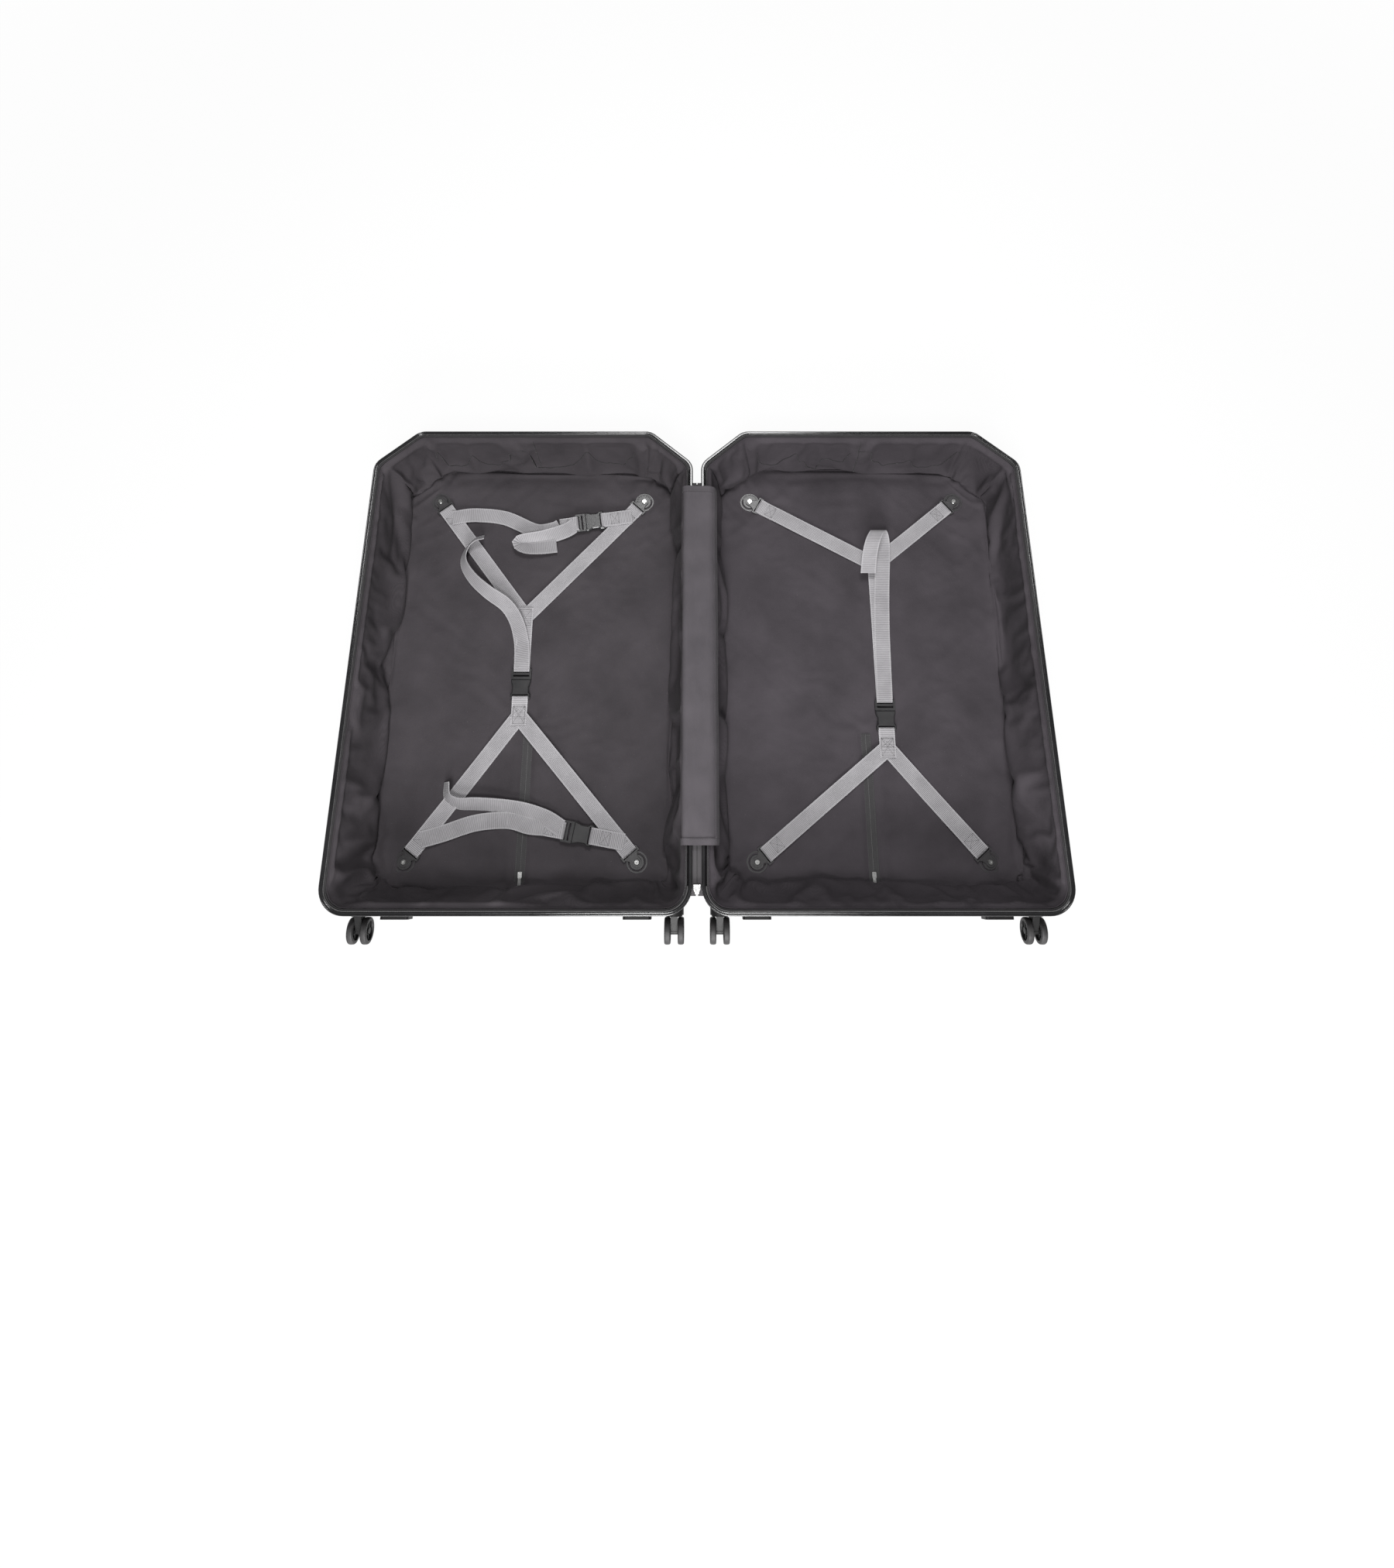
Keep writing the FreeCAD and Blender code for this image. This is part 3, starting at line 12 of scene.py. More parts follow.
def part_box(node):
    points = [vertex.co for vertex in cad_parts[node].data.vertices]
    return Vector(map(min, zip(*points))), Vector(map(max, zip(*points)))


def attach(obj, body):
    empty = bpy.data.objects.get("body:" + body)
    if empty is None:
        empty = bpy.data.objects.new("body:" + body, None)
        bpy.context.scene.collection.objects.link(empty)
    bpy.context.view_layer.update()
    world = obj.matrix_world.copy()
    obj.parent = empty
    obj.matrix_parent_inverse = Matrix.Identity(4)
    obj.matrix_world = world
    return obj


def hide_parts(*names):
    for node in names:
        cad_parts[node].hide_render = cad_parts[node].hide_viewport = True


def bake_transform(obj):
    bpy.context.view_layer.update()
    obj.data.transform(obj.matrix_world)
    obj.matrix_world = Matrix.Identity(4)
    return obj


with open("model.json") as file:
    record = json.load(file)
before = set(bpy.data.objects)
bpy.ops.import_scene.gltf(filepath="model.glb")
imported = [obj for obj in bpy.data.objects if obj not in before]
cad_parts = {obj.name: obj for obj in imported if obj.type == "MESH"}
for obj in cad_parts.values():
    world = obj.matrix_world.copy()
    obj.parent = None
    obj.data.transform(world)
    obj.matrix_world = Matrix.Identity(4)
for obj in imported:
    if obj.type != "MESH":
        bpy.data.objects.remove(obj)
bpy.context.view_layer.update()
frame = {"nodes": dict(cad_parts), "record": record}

SIDES = ("base", "lid")
SIGN = {"base": -1.0, "lid": 1.0}
UP, DOWN = Vector((0, 0, 1)), Vector((0, 0, -1))

# Places in metres. Each half is drawn from the hinge outwards: x from the hinge, y along it, z from the
# floor. at() turns such a place into a point of the case.
HINGE_X, RIM_MIDDLE_Y = 0.003, 0.0285
RIM_LOW_X, RIM_HIGH_X, RIM_HALF_LENGTH = 0.010, 0.800, 0.565
CUT_X, CUT_Y, CUT_ROUND, NEAR_ROUND = 0.105, 0.088, 0.040, 0.060
PARTING = 0.165
TRIM_TOP, TAPE_INSET, RIM_COIL_Z = 0.1635, 0.0101, 0.1628
LINER_FLOOR, LINER_TOP, LINER_TOP_INSET, LINER_FOOT_INSET = 0.0074, 0.160, 0.0128, 0.0295
SLACK, FAR_SLACK = 0.040, 0.018
HALF_MIDDLE = 0.405
ANCHORS = {"far_outer": (0.672, 0.436), "far_hinge": (0.138, 0.436),
           "near_outer": (0.672, -0.458), "near_hinge": (0.138, -0.458)}
BAR_REACH, BAR_Z = 0.0285, 0.0143
WEBBING_WIDTH, WEBBING = 0.038, 0.0017
FOLD_RADIUS, FOLD_TAPER, FOLD_END = 0.0034, 0.020, 0.044
LAYER = 0.00095  # a folded layer's distance from the middle of its two layers
SEWN_TOP = LAYER + WEBBING / 2 + 0.00035
PATH_STEP = 0.006
BUCKLE_BAR = 0.0335
TIE_Z = 0.0179
HARNESS = {"lid": (0.455, -0.122, 0.262, -0.200), "base": (0.430, -0.046, 0.123, -0.124)}
LINER_ZIP, ZIP_SINK = (-0.505, -0.165), 0.0008
HELD_TOP, HELD_ANCHOR, HELD_ZIP, HELD_FLOOR = 0.008, 0.032, 0.020, 0.02  # where the liner is sewn or held
LOWERED, SETTLED = 16, 40  # frames by which the liner is let down and has come to rest


def at(side, x, y, z):
    """Point of a half in the case's own frame."""
    return Vector((SIGN[side] * x + HINGE_X, y + RIM_MIDDLE_Y, z))


def over(side, spot, z):
    """Point of the case at a height over a spot of a half."""
    return at(side, spot.x, spot.y, z)


def clamped(share):
    return min(1.0, max(0.0, share))


def set_all(thing, **values):
    """Sets several properties of a thing."""
    for name, value in values.items():
        setattr(thing, name, value)


# Shader sockets
class Value:
    """A socket of a material. Sums and products of it add their own nodes."""

    def __init__(self, tree, socket=None):
        self.tree, self.socket = tree, socket

    def node(self, kind, settings=None, sockets=None, output=0):
        made = self.tree.nodes.new(kind)
        set_all(made, **settings or {})
        for name, value in (sockets or {}).items():
            if isinstance(value, Value):
                self.tree.links.new(value.socket, made.inputs[name])
            else:
                made.inputs[name].default_value = value
        return Value(self.tree, made.outputs[output])

    def math(self, operation, first, second=0.0):
        return self.node("ShaderNodeMath", {"operation": operation}, {0: first, 1: second})

    def __add__(self, other):
        return self.math("ADD", self, other)

    def __sub__(self, other):
        return self.math("SUBTRACT", self, other)

    def __rsub__(self, other):
        return self.math("SUBTRACT", other, self)

    def __mul__(self, other):
        return self.math("MULTIPLY", self, other)

    __radd__, __rmul__ = __add__, __mul__

    def wave(self, period):
        """Rises and falls between 0 and 1 once in each period."""
        return self.math("SINE", self * (2 * math.pi / period)) * 0.5 + 0.5

    def above(self, edge, soft):
        """0 below an edge and 1 above it, with a soft step between."""
        return self.node("ShaderNodeMapRange", {"interpolation_type": "SMOOTHSTEP"},
                         {"Value": self, "From Min": edge - soft, "From Max": edge + soft})

    def axes(self):
        parts = self.node("ShaderNodeSeparateXYZ", sockets={0: self}).socket.node
        return [Value(self.tree, output) for output in parts.outputs]

    def place(self, which="Object"):
        return self.node("ShaderNodeTexCoord", output=which)

    def drawn_out(self, turn, scale):
        """The object's coordinates, turned and scaled for long thin marks."""
        return self.node("ShaderNodeMapping", sockets={0: self.place(), 2: turn, 3: scale})

    def cloud(self, scale, detail=3.0, roughness=0.55, where=None):
        return self.node("ShaderNodeTexNoise", sockets={
            "Vector": where or self.place(), "Scale": scale, "Detail": detail, "Roughness": roughness})

    def mix(self, share, first, second):
        def colour(value):
            return value if isinstance(value, Value) else (*value, 1)
        return self.node("ShaderNodeMix", {"data_type": "RGBA"},
                         {0: share, 6: colour(first), 7: colour(second)}, output=2)

    def bump(self, height, strength, distance, below=None):
        sockets = {"Height": height, "Strength": strength, "Distance": distance}
        if below:
            sockets["Normal"] = below
        return self.node("ShaderNodeBump", sockets=sockets)


FINISH = {}


def finish(name, look, *values, **fixed):
    """Adds a finish: its changing sockets come from look, and its fixed sockets are set as numbers."""
    made = bpy.data.materials.new(name)
    made.use_nodes = True
    shader = made.node_tree.nodes["Principled BSDF"]
    for socket, value in fixed.items():
        shader.inputs[socket.replace("_", " ")].default_value = value
    for socket, value in look(Value(made.node_tree), *values).items():
        made.node_tree.links.new(value.socket, shader.inputs[socket])
    FINISH[name] = made


def woven(v, period):
    """Height of a plain weave that shows on floor and walls alike."""
    x, y, z = v.place().axes()
    return ((x + y).wave(period) + (y + z).wave(period) + (z + x).wave(period)) * (1 / 3)


def lining_cloth(v, low, high):
    weave = woven(v, 0.0016)
    patches = v.cloud(7.0, 4.0)
    grain = v.cloud(1500.0, 2.0, 0.7)
    tone = patches * 0.45 + grain * 0.35 + weave * 0.2
    lint = v.cloud(420.0, 1.0).above(0.79, 0.02) * 0.25
    creases = v.cloud(60.0, 5.0, 0.65)
    normal = v.bump(creases, 0.35, 0.0022)
    normal = v.bump(weave * 0.6 + grain * 0.4, 0.55, 0.0006, normal)
    colour = v.mix(tone.above(0.5, 0.32), low, high)
    return {"Base Color": v.mix(lint, colour, (0.30, 0.29, 0.30)),
            "Roughness": grain * 0.14 + 0.72, "Normal": normal}


def twill_cloth(v, low, high):
    along, across, _ = v.place("UV").axes()
    twill = (along + across).wave(0.0022)
    grain = v.cloud(1300.0, 2.0, 0.7)
    patches = v.cloud(12.0, 4.0)
    colour = v.mix((twill * 0.35 + grain * 0.3 + patches * 0.35).above(0.5, 0.3), low, high)
    normal = v.bump(v.cloud(45.0, 5.0, 0.6), 0.3, 0.002)
    return {"Base Color": colour, "Roughness": grain * 0.15 + 0.7,
            "Normal": v.bump(twill * 0.7 + grain * 0.3, 0.6, 0.0006, normal)}


def webbing_weave(v, low, high):
    along, across, _ = v.place("UV").axes()
    edge = v.math("ABSOLUTE", across - WEBBING_WIDTH / 2)
    selvedge = edge.above(0.0158, 0.0006)
    rib = along.wave(0.0030)
    cord = (across + along * 0.25).wave(0.0021)
    fuzz = v.cloud(900.0, 3.0, 0.7)
    worn = v.cloud(22.0, 4.0)
    height = rib * 0.75 + cord * 0.25
    tone = height * 0.45 + fuzz * 0.25 + worn * 0.3
    colour = v.mix(tone.above(0.5, 0.3), low, high)
    lighter = tuple(min(1.0, part * 1.45) for part in high)
    colour = v.mix(selvedge * 0.2, colour, lighter)
    return {"Base Color": colour, "Roughness": fuzz * 0.2 + 0.55,
            "Normal": v.bump(height + fuzz * 0.15, 0.8, 0.0007)}


def tape_weave(v, low, high):
    along, across, _ = v.place("UV").axes()
    rib = across.wave(0.0019)
    weft = along.wave(0.0014)
    fuzz = v.cloud(1100.0, 2.0)
    tone = rib * 0.4 + weft * 0.25 + fuzz * 0.35
    return {"Base Color": v.mix(tone.above(0.5, 0.35), low, high), "Roughness": fuzz * 0.2 + 0.6,
            "Normal": v.bump(rib * 0.7 + weft * 0.3, 0.7, 0.0005)}


def thread_twist(v, low, high):
    x, y, z = v.place().axes()
    strand = (x + y + z).wave(0.0009)
    fuzz = v.cloud(2500.0, 1.0)
    return {"Base Color": v.mix(strand * 0.6 + fuzz * 0.4, low, high), "Roughness": fuzz * 0.2 + 0.55,
            "Normal": v.bump(strand, 0.5, 0.0003)}


def moulded(v, low, high, gloss, grain, pebble, scuffs):
    """Moulded plastic: pebbled skin, cloudy sheen and short scuffs."""
    skin = v.cloud(grain, 2.0, 0.6)
    cloudy = v.cloud(9.0, 4.0)
    strokes = v.cloud(1.0, 2.0, where=v.drawn_out((0.4, 0.2, 0.9), (900.0, 30.0, 60.0)))
    scuff = strokes.above(0.70, 0.03) * v.cloud(30.0, 2.0).above(0.55, 0.1)
    colour = v.mix(cloudy.above(0.5, 0.3), low, high)
    worn = tuple(min(1.0, part * 2.2 + 0.03) for part in high)
    return {"Base Color": v.mix(scuff * scuffs, colour, worn),
            "Roughness": cloudy * 0.16 + skin * 0.08 + scuff * 0.12 + (gloss - 0.12),
            "Normal": v.bump(skin, pebble, 0.0004)}


def bright_metal(v, low, high, gloss):
    """Plated metal: hairline scratches and slightly uneven plating."""
    hairline = v.cloud(1.0, 3.0, where=v.drawn_out((0.3, 0.5, 0.2), (300.0, 4000.0, 300.0)))
    dull = v.cloud(160.0, 4.0)
    return {"Base Color": v.mix(dull.above(0.5, 0.3), low, high),
            "Roughness": hairline * 0.16 + dull * 0.16 + (gloss - 0.14),
            "Normal": v.bump(hairline, 0.12, 0.0002)}


def tyre_rubber(v, low, high):
    grime = v.cloud(70.0, 5.0)
    grit = v.cloud(1400.0, 2.0, 0.7)
    return {"Base Color": v.mix(grime.above(0.52, 0.22), low, high),
            "Roughness": grit * 0.2 + grime * 0.2 + 0.4, "Normal": v.bump(grit, 0.35, 0.0004)}


def coil_turn_painted_shade(v, low, high):
    along, _, _ = v.place("UV").axes()
    turn = along.wave(0.0024)
    # The colour changes with each turn: painted shade between the turns and a painted highlight on them.
    return {"Base Color": v.mix(turn, low, high), "Roughness": v.cloud(600.0) * 0.25 + 0.42,
            "Normal": v.bump(turn, 0.5, 0.0006)}


finish("shell_plastic", moulded, (0.012, 0.012, 0.013), (0.022, 0.021, 0.023), 0.46, 1500.0, 0.45, 0.3,
       Specular_IOR_Level=0.35)
finish("edge_trim", moulded, (0.007, 0.007, 0.0075), (0.016, 0.0155, 0.0165), 0.22, 900.0, 0.12, 0.25,
       Coat_Weight=0.7, Coat_Roughness=0.10)
finish("zip_tape", tape_weave, (0.012, 0.011, 0.012), (0.045, 0.043, 0.045))
finish("gusset_tape", tape_weave, (0.028, 0.026, 0.028), (0.074, 0.069, 0.074))
finish("zip_coil", coil_turn_painted_shade, (0.010, 0.010, 0.010), (0.060, 0.058, 0.060))
finish("zip_metal", bright_metal, (0.62, 0.62, 0.61), (0.84, 0.84, 0.83), 0.28, Metallic=1.0)
# lining_base and lining_lid are two copies of one cloth: the base's copy is darker as painted shade.
finish("lining_base", lining_cloth, (0.023, 0.0205, 0.0228), (0.064, 0.057, 0.063),
       Specular_IOR_Level=0.12, Sheen_Weight=0.02, Sheen_Roughness=0.4)
finish("lining_lid", lining_cloth, (0.025, 0.022, 0.025), (0.069, 0.061, 0.069),
       Specular_IOR_Level=0.12, Sheen_Weight=0.02, Sheen_Roughness=0.4)
finish("hem", twill_cloth, (0.010, 0.009, 0.010), (0.028, 0.026, 0.028),
       Sheen_Weight=0.1, Sheen_Roughness=0.4)
finish("flap_twill", twill_cloth, (0.038, 0.035, 0.039), (0.105, 0.095, 0.105),
       Specular_IOR_Level=0.2, Sheen_Weight=0.04, Sheen_Roughness=0.4)
finish("thread", thread_twist, (0.13, 0.125, 0.13), (0.30, 0.29, 0.30))
finish("dark_thread", thread_twist, (0.05, 0.048, 0.05), (0.13, 0.125, 0.13))
finish("webbing", webbing_weave, (0.14, 0.135, 0.142), (0.38, 0.37, 0.385),
       Sheen_Weight=0.1, Sheen_Roughness=0.4)
finish("rivet_metal", bright_metal, (0.30, 0.30, 0.295), (0.52, 0.52, 0.51), 0.30, Metallic=1.0)
finish("anchor_plastic", moulded, (0.022, 0.021, 0.022), (0.042, 0.040, 0.042), 0.36, 1200.0, 0.3, 0.5)
finish("buckle_plastic", moulded, (0.014, 0.014, 0.015), (0.030, 0.029, 0.030), 0.30, 1800.0, 0.2, 0.4)
finish("tyre", tyre_rubber, (0.016, 0.0155, 0.016), (0.040, 0.038, 0.039))
finish("caster_plastic", moulded, (0.007, 0.007, 0.007), (0.015, 0.0145, 0.015), 0.46, 1200.0, 0.3, 0.5,
       Specular_IOR_Level=0.25)
finish("handle_rubber", moulded, (0.016, 0.016, 0.017), (0.034, 0.033, 0.034), 0.55, 1500.0, 0.5, 0.3)
finish("handle_plastic", moulded, (0.014, 0.014, 0.014), (0.028, 0.027, 0.028), 0.38, 1300.0, 0.3, 0.5)


# Modelling helpers
def pick(*pieces):
    """Selects only these pieces and makes the first one active."""
    bpy.ops.object.select_all(action="DESELECT")
    for piece in pieces:
        piece.select_set(True)
    bpy.context.view_layer.objects.active = pieces[0]


def in_edit(piece, *steps):
    """Runs edit-mode operators on the whole of a piece."""
    pick(piece)
    bpy.ops.object.mode_set(mode="EDIT")
    bpy.ops.mesh.select_all(action="SELECT")
    for step, words in steps:
        step(**words)
    bpy.ops.object.mode_set(mode="OBJECT")


def applied(piece, kind, **settings):
    """Adds a modifier and applies it."""
    pick(piece)
    made = piece.modifiers.new(kind.lower(), kind)
    set_all(made, **settings)
    bpy.ops.object.modifier_apply(modifier=made.name)
    return piece


def smooth(piece, angle=40):
    pick(piece)
    bpy.ops.object.shade_smooth_by_angle(angle=math.radians(angle))
    return piece


def dress(piece, look, body=None):
    """Gives a piece its finish and the body it moves with."""
    piece.data.materials.clear()
    piece.data.materials.append(FINISH[look])
    if body:
        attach(piece, body)
    return piece


def shaped_grid(name, columns, rows, place, length, width):
    """A grid laid out by place(u, v), with its UV map in metres."""
    bpy.ops.object.select_all(action="DESELECT")
    bpy.ops.mesh.primitive_grid_add(x_subdivisions=columns, y_subdivisions=rows, size=1.0)
    piece = bpy.context.object
    piece.name = piece.data.name = name
    for corner in piece.data.uv_layers[0].data:
        corner.uv = (corner.uv[0] * length, corner.uv[1] * width)
    for vertex in piece.data.vertices:
        vertex.co = place(vertex.co.x + 0.5, vertex.co.y + 0.5)
    return piece


def closed(piece):
    """Joins the edges that meet and turns the faces outwards."""
    in_edit(piece, (bpy.ops.mesh.remove_doubles, {"threshold": 1e-5}),
            (bpy.ops.mesh.normals_make_consistent, {"inside": False}))
    return piece


def thick(piece, thickness, offset=0.0):
    applied(piece, "SOLIDIFY", thickness=thickness, offset=offset, use_even_offset=False)
    return closed(piece)


def copies(name, pattern, places):
    """One mesh with a copy of a small pattern at each place."""
    points = [vertex.co.copy() for vertex in pattern.data.vertices]
    faces = [list(face.vertices) for face in pattern.data.polygons]
    mesh = bpy.data.meshes.new(name)
    mesh.from_pydata([place @ point for place in places for point in points], [],
                     [[index + turn * len(points) for index in face]
                      for turn in range(len(places)) for face in faces])
    piece = bpy.data.objects.new(name, mesh)
    bpy.context.collection.objects.link(piece)
    mesh.shade_smooth()
    return piece


def frame_at(point, along, up):
    """Matrix that lays a pattern's x along a direction and its z up."""
    along = along.normalized()
    across = up.cross(along).normalized()
    return Matrix.Translation(point) @ Matrix((along, across, along.cross(across))).transposed().to_4x4()


def eased(share):
    """Soft step from 0 to 1."""
    share = clamped(share)
    return share * share * (3 - 2 * share)


def run_along(points):
    """Distance along a line at each of its points."""
    run = [0.0]
    for a, b in zip(points, points[1:]):
        run.append(run[-1] + (b - a).length)
    return run


def span_at(run, distance):
    """Number of the span that a distance falls in, and the share of that span before it."""
    k = min(max(bisect.bisect_right(run, distance) - 1, 0), len(run) - 2)
    return k, (distance - run[k]) / max(1e-9, run[k + 1] - run[k])


def smooth_path(points, step):
    """Points at an even step along a smooth line through the given ones."""
    dense, parts = [], 24
    ends = [points[0] * 2 - points[1], *points, points[-1] * 2 - points[-2]]
    for a, b, c, d in zip(ends, ends[1:], ends[2:], ends[3:]):
        for i in range(parts):
            t = i / parts
            dense.append(0.5 * (2 * b + (c - a) * t + (2 * a - 5 * b + 4 * c - d) * t * t
                                + (3 * b - a - 3 * c + d) * t ** 3))
    dense.append(points[-1])
    run = run_along(dense)
    count = max(2, round(run[-1] / step))
    path = []
    for i in range(count + 1):
        k, share = span_at(run, run[-1] * i / count)
        path.append(dense[k].lerp(dense[k + 1], min(1.0, share)))
    return path


# Rim of a half
def rim_line():
    """Rim outline from the hinge's near end round to it again: distances, points and inward directions."""
    low_y, high_y = -RIM_HALF_LENGTH, RIM_HALF_LENGTH
    corners = [Vector(corner) for corner in (
        (RIM_LOW_X, low_y), (RIM_HIGH_X, low_y), (RIM_HIGH_X, high_y - CUT_Y), (RIM_HIGH_X - CUT_X, high_y),
        (RIM_LOW_X + CUT_X, high_y), (RIM_LOW_X, high_y - CUT_Y))]
    points, inwards, parts = [], [], 18
    for i, corner in enumerate(corners):
        radius = NEAR_ROUND if i < 2 else CUT_ROUND
        before = (corners[i - 1] - corner).normalized()
        after = (corners[(i + 1) % 6] - corner).normalized()
        half = before.angle(after) / 2
        centre = corner + (before + after).normalized() * (radius / math.sin(half))
        start = corner + before * (radius / math.tan(half))
        for step in range(parts + 1):
            turn = Matrix.Rotation((math.pi - 2 * half) * step / parts, 2)
            spoke = turn @ (start - centre)
            points.append(centre + spoke)
            inwards.append(-spoke.normalized())
    points.append(points[0])
    inwards.append(inwards[0])
    return run_along(points), points, inwards


RIM_RUN, RIM_POINTS, RIM_INWARDS = rim_line()
RIM_LENGTH, ZIP_LENGTH = RIM_RUN[-1], RIM_RUN[-2]


def on_rim(side, distance, inset, z):
    """Point at a distance along the rim and an inset from it."""
    k, share = span_at(RIM_RUN, distance)
    spot = RIM_POINTS[k].lerp(RIM_POINTS[k + 1], share)
    inward = RIM_INWARDS[k].lerp(RIM_INWARDS[k + 1], share).normalized()
    return over(side, spot + inward * inset, z)


def rim_strip(name, side, section, columns, start=0.0, end=RIM_LENGTH):
    """A strip along the rim through a section of (inset, z) points."""
    last = len(section) - 1
    width = sum(math.dist(a, b) for a, b in zip(section, section[1:]))

    def place(u, v):
        inset, z = section[round(v * last)]
        return on_rim(side, start + (end - start) * u, inset, z)
    return shaped_grid(name, columns, last, place, end - start, width)


# Liners
def outline(inset, count):
    """Points of the rim outline at an inset, evenly numbered."""
    spots = [on_rim("lid", RIM_LENGTH * i / count, inset, 0.0) for i in range(count)]
    return [(spot.x - HINGE_X, spot.y - RIM_MIDDLE_Y) for spot in spots]


def tray(name, top_inset, top, foot_inset, floor, count, lidded, round_foot):
    """Open or lidded tray that follows the rim outline, with a rounded foot."""
    mesh = bpy.data.meshes.new(name)
    build = bmesh.new()
    upper = [build.verts.new((x, y, top)) for x, y in outline(top_inset, count)]
    lower = [build.verts.new((x, y, floor)) for x, y in outline(foot_inset, count)]
    foot = build.faces.new(lower)
    for i in range(count):
        build.faces.new((upper[i], upper[(i + 1) % count], lower[(i + 1) % count], lower[i]))
    if lidded:
        build.faces.new(upper)
    bmesh.ops.bevel(build, geom=list(foot.edges), offset=round_foot, segments=4, affect="EDGES", profile=0.5)
    bmesh.ops.recalc_face_normals(build, faces=build.faces)
    build.to_mesh(mesh)
    build.free()
    piece = bpy.data.objects.new(name, mesh)
    bpy.context.collection.objects.link(piece)
    return piece


def cut_height(y):
    """Height that the liner is cut to: taller than the rim, least so at the far wall."""
    return LINER_TOP + SLACK - (SLACK - FAR_SLACK) * eased((y - 0.40) / 0.10)


def liner(side, seed):
    """Loose cloth sewn to the rim and held at the anchors and the floor zip: cut too tall, then let down."""
    cloth = tray(side + "_cloth", LINER_TOP_INSET, LINER_TOP + SLACK + 0.03, LINER_FOOT_INSET,
                 LINER_FLOOR + 0.0005, 240, True, 0.022)
    pick(cloth)
    cloth.data.remesh_voxel_size = 0.0125
    bpy.ops.object.voxel_remesh()
    rim_z = LINER_TOP + SLACK
    in_edit(cloth, (bpy.ops.mesh.bisect,
                    {"plane_co": (0, 0, rim_z), "plane_no": (0, 0, 1), "clear_outer": True}))
    held = cloth.vertex_groups.new(name="held")
    tight = cloth.vertex_groups.new(name="tight")
    for vertex in cloth.data.vertices:
        vertex.co.z *= cut_height(vertex.co.y) / rim_z
        x, y, z = vertex.co
        sewn, on_floor = z > cut_height(y) - HELD_TOP, z < HELD_FLOOR
        at_anchor = min(math.dist((x, y), anchor) for anchor in ANCHORS.values()) < HELD_ANCHOR
        at_zip = abs(x - HALF_MIDDLE) < HELD_ZIP and LINER_ZIP[0] - 0.01 < y < LINER_ZIP[1] + 0.01
        if sewn or (on_floor and (at_anchor or at_zip)):
            held.add([vertex.index], 1.0, "REPLACE")
        if on_floor and at_zip:
            vertex.co.z = LINER_FLOOR - ZIP_SINK
        tight.add([vertex.index], 1.0 - clamped((z - 0.015) / 0.03), "REPLACE")
        if not sewn:
            swell = noise.noise(Vector((x * 7, y * 7, z * 13 + seed)))
            inward = Vector((HALF_MIDDLE - x, -y, 0)).normalized()
            vertex.co += inward * (0.004 + 0.007 * swell) * clamped((z - 0.012) / 0.05)
    let_down(cloth)
    applied(cloth, "SUBSURF", levels=1, render_levels=1)
    for vertex in cloth.data.vertices:
        vertex.co = over(side, vertex.co, max(vertex.co.z, LINER_FLOOR - 0.001))
    if side == "base":
        in_edit(cloth, (bpy.ops.mesh.flip_normals, {}))
    thick(cloth, 0.0011, -1.0)
    cloth.data.shade_smooth()
    # The base's liner takes the copy that is darkened as painted shade; the lid's liner takes the lighter
    # copy.
    dress(cloth, "lining_" + side, side)
    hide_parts(side + "_liner")
    return cloth


def let_down(cloth):
    """Lowers the sewn edge to the rim inside the hard tray, so that the spare height gathers into folds."""
    wall = tray("hard_tray", 0.0105, PARTING + SLACK + 0.05, 0.0268, LINER_FLOOR - 0.002, 120, False, 0.024)
    for face in wall.data.polygons:
        face.flip()
    wall.modifiers.new("wall", "COLLISION")
    set_all(wall.collision, thickness_outer=0.001, cloth_friction=3)
    cloth.shape_key_add(name="cut")
    lowered = cloth.shape_key_add(name="lowered")
    for point in lowered.data:
        top = cut_height(point.co.y)
        if point.co.z > top - HELD_TOP - 0.0005:
            point.co.z -= top - LINER_TOP
    for moment, share in ((1, 0.0), (LOWERED, 1.0)):
        lowered.value = share
        lowered.keyframe_insert("value", frame=moment)
    fabric = cloth.modifiers.new("fabric", "CLOTH")
    set_all(fabric.settings, quality=5, mass=0.25, tension_stiffness=25, compression_stiffness=25,
            shear_stiffness=12, bending_stiffness=0.12, tension_damping=5, compression_damping=5,
            shear_damping=5, bending_damping=0.5, vertex_group_mass="held", pin_stiffness=1.0,
            vertex_group_shrink="tight", shrink_min=-0.06, shrink_max=-0.012, air_damping=1.5)
    set_all(fabric.collision_settings, use_collision=True, distance_min=0.0015, collision_quality=2,
            use_self_collision=False)
    set_all(fabric.point_cache, frame_start=1, frame_end=60)
    scene = bpy.context.scene
    for moment in range(1, SETTLED + 1):
        scene.frame_set(moment)
    settled = bpy.data.meshes.new_from_object(cloth.evaluated_get(bpy.context.evaluated_depsgraph_get()))
    cloth.modifiers.clear()
    cloth.shape_key_clear()
    cloth.data = settled
    bpy.data.objects.remove(wall)
    scene.frame_set(1)


CLOTH_TOP = {}
for side, seed in (("base", 4.0), ("lid", 9.0)):
    cloth = liner(side, seed)
    CLOTH_TOP[side] = BVHTree.FromPolygons([vertex.co.copy() for vertex in cloth.data.vertices],
                                           [list(face.vertices) for face in cloth.data.polygons])


def cloth_height(side, x, y):
    """Top of the liner's floor under a point of a half."""
    hit = CLOTH_TOP[side].ray_cast(at(side, x, y, 0.12), DOWN)[0]
    return min(hit.z, LINER_FLOOR + 0.008) if hit else LINER_FLOOR


